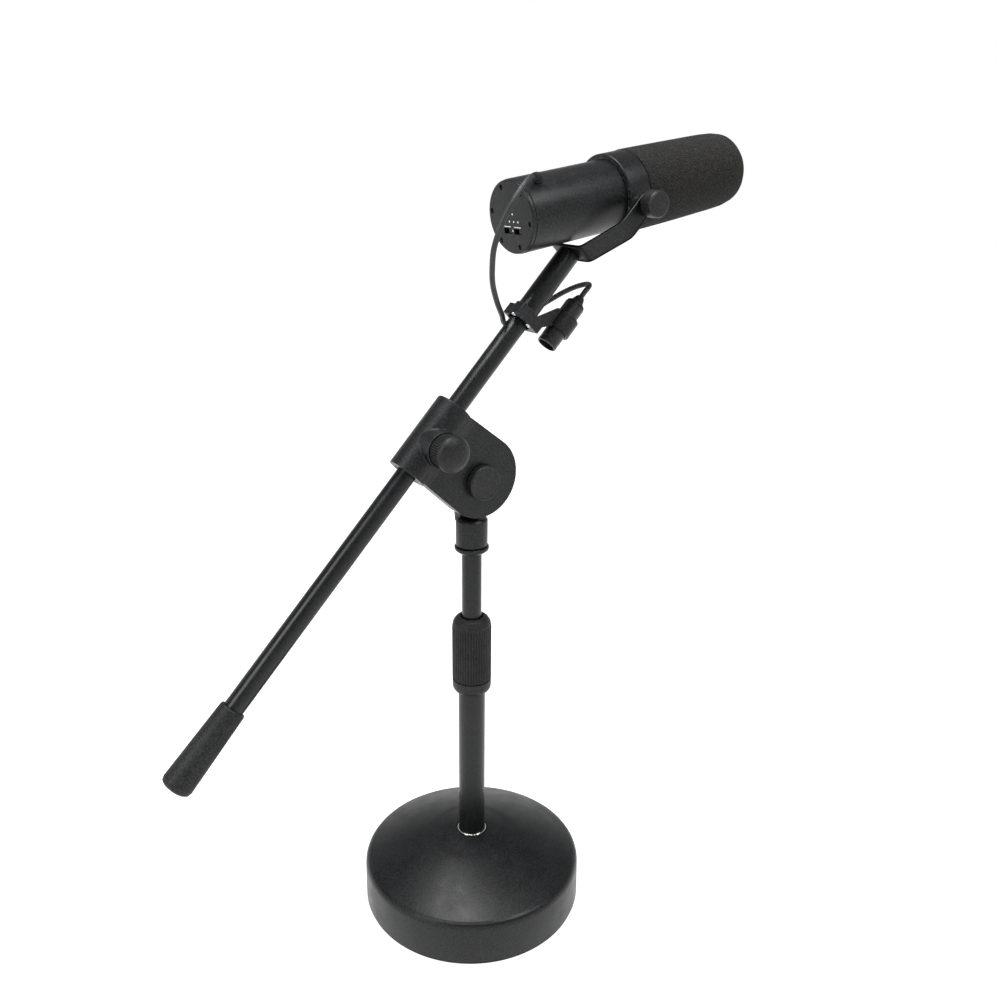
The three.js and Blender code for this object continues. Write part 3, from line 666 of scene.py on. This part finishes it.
def make_base():
    shell = [
        (2.5, 90.6, 0),
        (2.5, 93.4),
        (3.3, 94.2),
        (33, 93.9),
        (35.6, 93.75),
        (37.8, 93.1),
        (39.6, 91.9),
        (dome_height(90), 90),
        (dome_height(87), 87),
    ]
    for radius in [84, 78, 72, 66, 60, 54, 48, 43, 39, 36, 34, 32, 30, 26, 22, 18, 15]:
        step = 0.28 * (1 - smooth((radius - 31) / 6))
        shell.append((dome_height(radius) - step, radius))
    shell += [(dome_height(13) - 0.28, 13, 0.5), (dome_height(13) - 3, 13, 0)]
    for radius in [24, 42, 60, 84]:
        shell.append((dome_height(radius) - 3, radius, 0))
    shell.append((32, 90.3, 0))
    obj = turned("base_cover", shell, radius=0.6, sides=192, closed=True)
    dress(obj, "base", COAT, "powder_coat", "base_shell")
    pad = [(0, 0), (0, 92.6), (0.8, 93.2), (2.2, 93.2), (2.2, 0)]
    dress(turned("base_foot", pad, sides=192), "base", RUBBER, "rubber", "base_pad")
    ring = [(61.5, 11.5), (61.5, 12.4), (64, 12.4), (64.4, 12), (64.4, 11.5)]
    obj = turned("foot_collar", ring, radius=0.3, closed=True)
    dress(obj, "base", BRIGHT, "bright_ring", "foot_ring")
    tube = [(28, 9.7), (28, 11.2), (236, 11.2), (236, 9.7)]
    obj = turned("lower_pole", tube, closed=True)
    dress(obj, "base", TUBE_PAINT, "black_tube", "lower_tube")
    ferrule = [
        (202.6, 11.5),
        (202.6, 12.0, 0.3),
        (203.9, 14.2, 1.2),
        (206.0, 15.7, 1.5),
        (208.5, 16.1, 1),
        (214.2, 16.1, 0.3),
        (214.2, 12.9, 0),
        (236, 12.9, 0),
        (236, 11.5, 0),
    ]
    obj = turned("clutch_skirt", ferrule, closed=True)
    dress(obj, "base", KNOB_PLASTIC, "knob_plastic", "clutch_ferrule")


CLUTCH_RIBS = 44


def clutch_rib(along, radius, angle):
    if radius < 14.8 or not 215.0 < along < 264.5:
        return radius
    fade = min(1, (along - 215.0) / 0.6, (264.5 - along) / 2.5)
    wave = 0.5 + 0.5 * math.cos(CLUTCH_RIBS * angle)
    return radius + fade * (0.72 * wave**0.5 - 0.25)


def make_mast():
    outer = [(214.8, 15.5, 0.2), (215.0, 15.7)]
    outer += [(215.2 + 0.4 * k, 15.7) for k in range(4)]
    outer += [(218 + 4 * k, 15.7) for k in range(11)]
    outer += [(260.5 + 0.6 * k, 15.7) for k in range(7)]
    outer += [(265.3, 15.55), (267.2, 14.9, 2), (269.4, 13.3, 2), (270.8, 11.4, 1), (271.3, 10)]
    inner = [
        (271.3, 9.2, 0.2),
        (263.2, 9.2, 0),
        (262.6, 10, 0),
        (254.5, 11.3, 0),
        (239, 11.3, 0),
        (238, 13.2, 0),
        (214.8, 13.2, 0),
    ]
    obj = turned("clutch_grip", outer + inner, sides=CLUTCH_RIBS * 8, closed=True, warp=clutch_rib)
    dress(obj, "clutch", RUBBER, "knob_plastic", "clutch_sleeve")
    tube = [(110, 6.6), (110, 8), (330.6, 8), (330.6, 6.6)]
    obj = turned("upper_pole", tube, closed=True)
    dress(obj, "mast", TUBE_PAINT, "black_tube", "mast_tube")
    ring = [
        (327.8, 8.3, 0),
        (327.8, 10.6, 0.4),
        (330.2, 13.6, 0.6),
        (332.6, 13.8, 0.6),
        (333.1, 13.2, 0.3),
        (333.1, 8.3, 0),
    ]
    obj = turned("lock_ring", ring, closed=True, sides=128)
    dress(obj, "jam_ring", COAT, "powder_coat", "jam_ring")
    make_coupler()
    washer = [(10.8, BOLT_HOLE), (10.8, 9), (12, 9), (12, BOLT_HOLE)]
    obj = turned("thrust_washer", washer, "y", BOOM @ shift(PIVOT), 0.3, closed=True)
    dress(obj, "mast", ZINC, "zinc_steel", "back_washer")


def make_coupler():
    body = turned(
        "coupler_cast",
        [
            (333.8, 0, 0),
            (333.8, 12.2, 0.5),
            (334.4, 12.7, 0.4),
            (355.2, 12.7, 1),
            (357, 11, 1),
            (357, 0),
        ],
    )
    pivot_z = (BOOM @ Vector(PIVOT)).z
    tongue = arc(0, pivot_z, 12.5, 0, 180, 40) + [(-9, 353), (9, 353)]
    flag = slab("tongue", tongue, 2.4, 10.5, bevel=0.6)
    bolt_bore = [(-5, 0), (-5, BOLT_HOLE), (20, BOLT_HOLE), (20, 0)]
    bolt = turned("bolt_bore", bolt_bore, "y", shift((0, 0, pivot_z)), 0)
    thread = turned("thread_bore", [(330, 0), (330, 8.1), (352, 8.1), (352, 0)], radius=0)
    combine(body, [flag], "UNION")
    combine(body, [bolt, thread], "DIFFERENCE")
    shade_by_angle(body)
    dress(body, "mast", COAT, "powder_coat", "coupler")


make_base()
make_mast()


# ---------------------------------------------------------------- pivot block
NOSE = (-48.6, -50.2)
NOSE_RADIUS = 32.3
PLATE_ENDS = (-82.2, -21.9)


def touch_angle(s, side):
    """Where the plate's sloping side from (s, 0) touches its round nose, in degrees."""
    towards = math.atan2(NOSE[1], NOSE[0] - s)
    spread = math.asin(NOSE_RADIUS / math.hypot(NOSE[1], NOSE[0] - s))
    return math.degrees(towards + side * (spread + math.pi / 2))


def make_block():
    start, end = touch_angle(PLATE_ENDS[0], -1), touch_angle(PLATE_ENDS[1], 1)
    outline = arc(*NOSE, NOSE_RADIUS, start, end, 72) + [(PLATE_ENDS[1], 0), (PLATE_ENDS[0], 0)]
    cast = slab("pivot_casting", outline, -13.1, 0.5, BOOM, bevel=1.0)
    boss = turned(
        "boss", [(-83, 0), (-83, 15.4, 0.9), (-21.1, 15.4, 0.9), (-21.1, 0)], "x", BOOM, sides=160
    )
    pad = turned("pad", [(-21, 0), (-21, 14.0, 0.3), (-6, 14.0), (-6, 0)], "y", BOOM @ shift(LOCK))
    web = [(-13.0, -14.8), (-13.0, 0), (-15.0, -2.0), (-14.6, -6.0), (-13.7, -10.4)]
    bm = bmesh.new()
    ends = [[bm.verts.new((x, y, z)) for y, z in web] for x in (-81.9, -22.2)]
    bm.faces.new(ends[0])
    bm.faces.new(list(reversed(ends[1])))
    for i in range(len(web)):
        k = (i + 1) % len(web)
        bm.faces.new((ends[0][i], ends[1][i], ends[1][k], ends[0][k]))
    fillet = mesh_object("fillet", bm, BOOM)
    combine(cast, [boss, pad, fillet], "UNION")
    bore = turned("bore", [(-90, 0), (-90, 10.3), (-10, 10.3), (-10, 0)], "x", BOOM, 0)
    socket = [(-23, 0), (-23, 13.0), (-18, 13.0), (-18, BOLT_HOLE), (0, BOLT_HOLE), (0, 0)]
    recess = turned("recess", socket, "y", BOOM @ shift(LOCK), 0)
    bolt_bore = [(-20, 0), (-20, BOLT_HOLE), (5, BOLT_HOLE), (5, 0)]
    bolt = turned("bolt_bore", bolt_bore, "y", BOOM @ shift(PIVOT), 0)
    combine(cast, [bore, recess, bolt], "DIFFERENCE")
    melt(cast, 0.42, 3)
    dress(cast, "block", ALLOY_COAT, "coated_alloy", "pivot_block")


KNOB_LOBES = 5
LOBE_DEPTH = 0.19
KNOB_NECK_RADIUS = 9


def knob_lobe(along, radius, angle):
    if radius <= KNOB_NECK_RADIUS:
        return radius
    return radius * (1 + LOBE_DEPTH * math.cos(KNOB_LOBES * angle))


def make_pivot_hardware():
    pivot, lock = BOOM @ shift(PIVOT), BOOM @ shift(LOCK)
    cap = [
        (-17.1, 0),
        (-17.1, 8.4, 0),
        (-13.5, 8.4, 0),
        (-13.5, 13.5, 0.3),
        (-14.2, 13.8, 0.4),
        (-18.7, 13.8, 0.8),
        (-19.7, 12.8, 0.6),
        (-19.45, 12.0, 0.5),
        (-19.6, 6),
        (-19.7, 0),
    ]
    obj = turned("pivot_cover", cap, "y", pivot, sides=128)
    dress(obj, "block", KNOB_PLASTIC, "knob_plastic", "pivot_cap")
    knob = [
        (12.3, 4.3, 0),
        (12.3, 8, 0.5),
        (16.6, 8.2, 0.8),
        (17, 12, 1.2),
        (18.5, 12.9, 1.5),
        (28.4, 12.9, 1.8),
        (30, 11.2, 1.5),
        (30, 8.4, 0.4),
        (31.3, 7.6, 0.8),
        (31.5, 0),
        (28, 0),
        (28, 4.3, 0),
    ]
    obj = turned(
        "tilt_knob_star",
        knob,
        "y",
        pivot,
        sides=180,
        closed=True,
        warp=knob_lobe,
    )
    dress(obj, "tilt_knob", KNOB_PLASTIC, "knob_plastic", "tilt_knob")
    make_lock_knob(lock)


LOCK_RIDGES = 44


def lock_ridge(along, radius, angle):
    if radius < 11.6 or not -30.9 < along < -19.0:
        return radius
    return radius - 0.35 + 0.85 * abs(math.cos(0.5 * LOCK_RIDGES * angle)) ** 0.7


def make_lock_knob(lock):
    skirt = [(-18.6, 0), (-18.6, 11.6, 0.4), (-19.2, 12.35, 0.3)]
    skirt += [(-21 - 3 * k, 12.35) for k in range(4)]
    skirt += [(-30.8, 12.35), (-31, 11.5), (-31, 0)]
    obj = turned(
        "lock_knob_skirt", skirt, "y", lock, sides=LOCK_RIDGES * 6, warp=lock_ridge
    )
    dress(obj, "boom_lock", KNOB_PLASTIC, "knob_plastic", "boom_lock_knob")
    cap = [(-31.3, 0), (-31.3, 13.4, 0.4), (-32.2, 13.95, 0.8), (-34.3, 13.65, 2)]
    cap += [(-36.3, 12.0, 3), (-38.1, 8.7, 4), (-39.1, 4.6, 3), (-39.35, 0)]
    obj = turned("lock_knob_cap", cap, "y", lock)
    dress(obj, "boom_lock", KNOB_PLASTIC, "knob_plastic", "boom_lock_cap")


make_block()
make_pivot_hardware()


# ---------------------------------------------------------------- boom
def grip_groove(along, radius, angle):
    """Two shallow grooves run along the grip near the side that faces the floor."""
    if radius < 9.3 or along < -350 or along > -296:
        return radius
    depth = 0
    for middle in (3.9, 4.35):
        gap = abs((angle - middle + math.pi) % (2 * math.pi) - math.pi)
        depth += 0.3 * math.exp(-((gap / 0.09) ** 2))
    return radius - depth


def make_boom():
    tube = [
        (BOOM_START, BOOM_BORE),
        (BOOM_START, BOOM_RADIUS),
        (BOOM_END, BOOM_RADIUS),
        (BOOM_END, BOOM_BORE),
    ]
    obj = turned("boom_pole", tube, "x", BOOM, closed=True)
    dress(obj, "boom", TUBE_PAINT, "black_tube", "boom_tube")
    grip = [(-352.6, 0), (-352.6, 8.05, 0), (-290, 8.05, 0), (-290, 9.2, 0.4), (-291.2, 9.8, 0.6)]
    grip += [(-296 - 7 * k, 9.98 + 0.21 * k) for k in range(9)]
    grip += [(-352, 11.8, 1.5), (-355.5, 11, 1.5), (-357.2, 8.5, 1), (-358, 0)]
    obj = turned("boom_grip", grip, "x", BOOM, sides=160, warp=grip_groove)
    dress(obj, "boom", RUBBER, "rubber", "end_grip")


# ---------------------------------------------------------------- yoke and connector
def make_yoke():
    stem = [
        (88, 0),
        (88, 7.5, 0),
        (63.5, 7.5, 0),
        (63.5, 8.4, 0.3),
        (64, 8.8, 0.3),
        (128.6, 8.8, 0.3),
        (129.1, 8.3, 0.3),
        (129.1, 2.9, 0),
        (112, 2.9, 0),
        (112, 0),
    ]
    obj = turned("stem_pole", stem, "x", BOOM)
    dress(obj, "yoke", TUBE_PAINT, "black_tube", "mic_stem")
    obj = strap("yoke_strap")
    dress(obj, "yoke", COAT, "powder_coat", "yoke_bracket")
    screw = [
        (113, 0),
        (113, 2.5, 0),
        (132.7, 2.5, 0),
        (132.7, 5, 0.3),
        (134.7, 4.7, 0.8),
        (135.3, 3.2, 0.4),
        (135.3, 1.6, 0),
        (133.8, 1.5, 0),
        (133.8, 0),
    ]
    dress(turned("stem_bolt", screw, "x", BOOM), "yoke", BLACK_STEEL, "black_steel", "stem_screw")


def strap(name):
    """The yoke: a flat strap bent through four corners, with round ends."""
    half_thickness, half_width = YOKE_THICKNESS / 2, YOKE_HALF_WIDTH
    foot = YOKE_FOOT_FACE + half_thickness
    reach = YOKE_ARM - half_thickness
    corners = [
        (TILT[0] + half_width, -reach),
        (YOKE_BEND_S, -reach),
        (foot, -YOKE_FOOT),
        (foot, YOKE_FOOT),
        (YOKE_BEND_S, reach),
        (TILT[0] + half_width, reach),
    ]
    line = soften(corners, 9, steps=10)
    dense = []
    for a, b in zip(line, line[1:]):
        pieces = max(1, round((b - a).length / 2.0))
        dense += [a + (b - a) * k / pieces for k in range(pieces)]
    dense.append(line[-1])
    fine_end = [TILT[0] + half_width * math.sin(math.pi / 2 * k / 10) for k in range(10, -1, -1)]
    dense = [p for p in dense if p.x < TILT[0] - 0.1]
    dense = (
        [Vector((x, -reach)) for x in fine_end]
        + dense
        + [Vector((x, reach)) for x in reversed(fine_end)]
    )
    bm = bmesh.new()
    rows = []
    round_by = 0.7
    for i, point in enumerate(dense):
        before, after = dense[max(i - 1, 0)], dense[min(i + 1, len(dense) - 1)]
        along = (after - before).normalized()
        across = Vector((-along.y, along.x))
        past = max(0.0, point.x - TILT[0])
        width = math.sqrt(max(half_width**2 - past**2, 0.01))
        edge = min(round_by, width * 0.5)
        row = []
        for side, level in ((1, 1), (-1, 1), (-1, -1), (1, -1)):
            for k in range(4):
                turn = math.pi / 2 * k / 3
                if side * level > 0:
                    turn = math.pi / 2 - turn
                u = side * (half_thickness - edge + edge * math.cos(turn))
                v = level * (width - edge + edge * math.sin(turn))
                spot = point + across * u
                row.append(bm.verts.new((spot.x, spot.y, v)))
        rows.append(row)
    for first, second in zip(rows, rows[1:]):
        for k in range(len(first)):
            n = (k + 1) % len(first)
            bm.faces.new((first[k], first[n], second[n], second[k]))
    bm.faces.new(rows[0])
    bm.faces.new(rows[-1])
    return mesh_object(name, bm, BOOM)


def make_cable_bracket():
    clamp = block("bracket_cast", (61.6, 71.4), (-12.9, 10.9), (-11.9, 9.9), BOOM, bevel=1.0)
    lug = block("lug", (61.6, 71.4), (-12.9, -2.1), (6, 14.4), BOOM, bevel=1.0)
    arm = [(62.6, -10.5), (71.4, -9), (94.8, -23.5), (94.8, -27), (80.2, -27), (77.2, -23.5)]
    web = slab("arm", arm, -2.9, 2.9, BOOM, bevel=0.5)
    ring = [(80.1, 0), (80.1, 10.9, 0.6), (94.9, 10.9, 0.6), (94.9, 0)]
    holder = turned("holder", ring, "x", BOOM @ shift(BARREL))
    combine(clamp, [lug, web, holder], "UNION")
    bore = turned("bore", [(55, 0), (55, 9.1), (110, 9.1), (110, 0)], "x", BOOM, 0)
    seat = turned("seat", [(76, 0), (76, 8.5), (110, 8.5), (110, 0)], "x", BOOM @ shift(BARREL), 0)
    combine(clamp, [bore, seat], "DIFFERENCE")
    melt(clamp, 0.4, 2)
    dress(clamp, "yoke", COAT, "powder_coat", "cable_bracket")
    for number, place in ((1, (0, -5.2, 11.5)), (2, (0, -11.05, -0.8))):
        screw = [
            (68.5, 0),
            (68.5, 1.2, 0),
            (61.2, 1.2, 0),
            (61.2, 1.9, 0.2),
            (60.5, 1.9, 0.3),
            (59.95, 1.4, 0.3),
            (59.9, 0.8, 0),
            (60.7, 0.75, 0),
            (60.7, 0),
        ]
        obj = turned(f"clamp_screw_{number}", screw, "x", BOOM @ shift(place), sides=48)
        dress(obj, "yoke", ZINC, "zinc_steel", f"bracket_screw_{number}")


def make_connector():
    place = BOOM @ shift(BARREL)
    barrel = [
        (66.5, 6.9, 0.2),
        (66.5, 7.8, 0.3),
        (67.2, 8.2, 0.3),
        (70.4, 8.2, 0.2),
        (70.7, 7.9, 0.1),
        (71.4, 7.9, 0.1),
        (71.7, 8.2, 0.2),
        (105.6, 8.2, 0.3),
        (106, 7.8, 0.2),
        (106, 6.9, 0),
    ]
    obj = turned("connector_shell", barrel, "x", place, closed=True)
    dress(obj, "yoke", BLACK_STEEL, "black_steel", "connector_barrel")
    boot = [(106.3, 0), (106.3, 7.9, 0.3), (107.6, 7.6, 0.8), (109, 5.6, 0.6)]
    for k in range(3):
        start = 109.3 + 1.6 * k
        width = 5.2 - 0.6 * k
        boot += [(start, width, 0.2), (start + 0.8, width - 0.1, 0.2), (start + 0.9, width - 0.7, 0)]
    boot += [(114.5, 3.3, 0.2), (114.5, 0)]
    dress(turned("connector_tail", boot, "x", place), "yoke", RUBBER, "rubber", "connector_boot")


def make_yoke_knobs():
    for side, name in ((-1, "front"), (1, "back")):
        profile = [
            (29, 0),
            (29, 2.5, 0),
            (43.8, 2.5, 0),
            (43.8, 7.4, 0.5),
            (45.4, 9.7, 1),
            (48, 10.1, 1),
            (55.2, 10.1, 1),
            (57.0, 9.0, 1.2),
            (57.2, 7.0, 0.3),
            (57.0, 0),
        ]
        profile = [(side * entry[0], *entry[1:]) for entry in profile]
        obj = turned(f"yoke_knob_{name}_head", profile, "y", BOOM @ shift(TILT), sides=96)
        body = f"yoke_knob_{name}"
        dress(obj, body, KNOB_PLASTIC, "knob_plastic", body)


make_boom()
make_yoke()
make_cable_bracket()
make_connector()
make_yoke_knobs()


# ---------------------------------------------------------------- microphone
SCREW_CIRCLE = 22.4
SCREW_COUNT = 6
SWITCH_Z = -10
SWITCHES = (("left", -7), ("right", 5))


def make_body():
    body = [(3.3, 24.5, 0), (3.3, 26.9, 0.3), (3.6, 27.05, 0.2), (108, 27.05), (108, 24.5, 0)]
    obj = turned("mic_barrel", body, "x", MIC, sides=160, closed=True)
    dress(obj, "mic", ALLOY_COAT, "coated_alloy", "mic_body")
    disc = turned(
        "rear_cap", [(0, 0), (0, 25.9, 0.4), (0.7, 26.6, 0.4), (3, 26.6, 0), (3, 0)], "x", MIC, sides=160
    )
    cutters = []
    for place in screw_places():
        hole = [(-1, 0), (-1, 2), (4, 2), (4, 0)]
        cutters.append(turned("hole", hole, "x", MIC @ shift(place), 0, sides=32))
    for _, y in SWITCHES:
        window = (y - 4.2, y + 4.2)
        cutters.append(block("window", (-1, 4), window, (SWITCH_Z - 2, SWITCH_Z + 2), MIC))
    combine(disc, cutters, "DIFFERENCE")
    shade_by_angle(disc)
    dress(disc, "mic", ALLOY_COAT, "coated_alloy", "rear_plate")


def screw_places():
    places = []
    for i in range(SCREW_COUNT):
        angle = (i + 0.35) * 2 * math.pi / SCREW_COUNT
        places.append((0, SCREW_CIRCLE * math.sin(angle), SCREW_CIRCLE * math.cos(angle)))
    return places


def make_rear_details():
    for number, place in enumerate(screw_places(), 1):
        screw = [(9, 0), (9, 1.6, 0), (0.9, 1.6, 0.3), (0.6, 0.9, 0.2)]
        screw += [(0.8, 0.8, 0), (1.4, 0.75, 0), (1.4, 0)]
        obj = turned(f"cap_screw_{number}", screw, "x", MIC @ shift(place), sides=40)
        dress(obj, "mic", BLACK_STEEL, "black_steel", f"rear_screw_{number}")
    for side, y in SWITCHES:
        height = (SWITCH_Z - 1.7, SWITCH_Z + 1.7)
        obj = block(f"slider_{side}", (0.9, 4.6), (y - 3.9, y - 0.3), height, MIC, bevel=0.25)
        dress(obj, f"switch_{side}", KNOB_PLASTIC, "knob_plastic", f"switch_{side}")
    make_marks()


def make_marks():
    """White printed dots and lines beside the switches."""
    bm = bmesh.new()
    depth = (-0.05, 0.05)
    dots = [(2.0, -3.0), (-3.2, -3.0), (-8.2, -3.0), (-2.2, 2.4), (-1.0, -9.5)]
    for y, z in dots:
        spot = Matrix.Translation((sum(depth) / 2, y, z)) @ Matrix.Rotation(math.pi / 2, 4, "Y")
        bmesh.ops.create_cone(
            bm,
            cap_ends=True,
            segments=24,
            radius1=0.62,
            radius2=0.62,
            depth=depth[1] - depth[0],
            matrix=spot,
        )
    for _, y in SWITCHES:
        size = Matrix.Diagonal((depth[1] - depth[0], 8.0, 0.5, 1))
        bmesh.ops.create_cube(bm, size=1, matrix=Matrix.Translation((0, y, SWITCH_Z + 3.2)) @ size)
    dress(mesh_object("rear_marks", bm, MIC), "mic", WHITE_PAINT, "coated_alloy")


def make_collar():
    band = [
        (91, 27.4, 0),
        (91, 30.4, 0.5),
        (91.8, 31, 0.4),
        (111.2, 31, 0.4),
        (112, 30.4, 0.5),
        (112, 27.4, 0),
    ]
    ring = turned("collar", band, "x", MIC, sides=160, closed=True)
    boss = turned(
        "boss",
        [(-40.2, 0), (-40.2, 5, 0.5), (40.2, 5, 0.5), (40.2, 0)],
        "y",
        TILT_PLACE,
        sides=64,
    )
    combine(ring, [boss], "UNION")
    inside = turned("inside", [(80, 0), (80, 27.4), (120, 27.4), (120, 0)], "x", MIC, 0, sides=160)
    screw_hole = [(-50, 0), (-50, 2.9), (50, 2.9), (50, 0)]
    screw = turned("screw", screw_hole, "y", TILT_PLACE, 0, sides=32)
    combine(ring, [inside, screw], "DIFFERENCE")
    shade_by_angle(ring)
    dress(ring, "mic", ALLOY_COAT, "coated_alloy", "front_ring")


FOAM_TAPER = 0.017


def foam_swell(along, radius, angle):
    """A little unevenness, as foam has."""
    if radius < 15:
        return radius
    soft = math.sin(3 * angle + along * 0.05) + 0.6 * math.sin(7 * angle - along * 0.11)
    return radius - 0.12 + 0.06 * soft


def make_foam():
    skin = [(202.6, 0), (202.6, 20, 0), (197.5, 26, 0), (112.3, 26, 0), (112.3, 31.2, 0.6)]
    for k in range(15):
        past = 6 * k
        skin.append((114 + past, 31.65 - FOAM_TAPER * past * (0.55 + 0.005 * past)))
    skin += [(204, 30.0), (211, 29.6, 4), (219.5, 28.0, 6), (225, 23.6, 5), (226.9, 15.5, 4), (226.9, 0)]
    obj = turned("windscreen_foam", skin, "x", MIC, sides=128, warp=foam_swell)
    dress(obj, "mic", FOAM, "foam", "foam_windscreen")


make_body()
make_rear_details()
make_collar()
make_foam()


# ---------------------------------------------------------------- room
def make_room():
    material, tree, shader = node_material("room_white")
    tone = mix_colours(
        tree, noise_node(tree, 1.5).outputs["Fac"], (0.40, 0.40, 0.40), (0.43, 0.43, 0.43)
    )
    tree.links.new(tone, shader.inputs["Base Color"])
    shader.inputs["Roughness"].default_value = 0.7
    shader.inputs["Emission Color"].default_value = (1, 1, 1, 1)
    shader.inputs["Emission Strength"].default_value = 0.93
    bm = bmesh.new()
    bmesh.ops.create_grid(bm, x_segments=1, y_segments=1, size=6)
    data = bpy.data.meshes.new("floor")
    bm.to_mesh(data)
    bm.free()
    floor = bpy.data.objects.new("floor", data)
    floor.location = (0, 0, -0.0005)
    data.materials.append(material)
    bpy.context.scene.collection.objects.link(floor)
    world = bpy.data.worlds.new("studio")
    world.use_nodes = True
    sky = world.node_tree
    background = sky.nodes["Background"]
    split = sky.nodes.new("ShaderNodeSeparateXYZ")
    sky.links.new(sky.nodes.new("ShaderNodeTexCoord").outputs["Generated"], split.inputs["Vector"])
    tone = mix_colours(sky, split.outputs["Z"], (1.0, 1.0, 1.0), (0.24, 0.245, 0.25), 0.16, 0.42)
    sky.links.new(tone, background.inputs["Color"])
    background.inputs["Strength"].default_value = 1.0
    bpy.context.scene.world = world
    bpy.context.scene.view_settings.view_transform = "Standard"


def add_light(name, place, target, width, height, power):
    data = bpy.data.lights.new(name, "AREA")
    data.shape = "RECTANGLE"
    data.size = width
    data.size_y = height
    data.energy = power
    light = bpy.data.objects.new(name, data)
    light.location = place
    light.rotation_euler = (Vector(target) - Vector(place)).to_track_quat("-Z", "Y").to_euler()
    bpy.context.scene.collection.objects.link(light)


def make_lights():
    middle = (0, 0, 0.35)
    add_light("key", (-1.9, -0.2, 1.5), middle, 0.8, 1.4, 28)
    add_light("fill", (0.6, -1.4, 2.3), middle, 0.7, 1.0, 10)
    add_light("top", (-0.25, 0.1, 2.4), middle, 1.3, 0.9, 58)
    add_light("microphone", (0.45, -0.8, 1.5), (0.17, 0, 0.6), 0.35, 0.5, 8)


make_room()
make_lights()
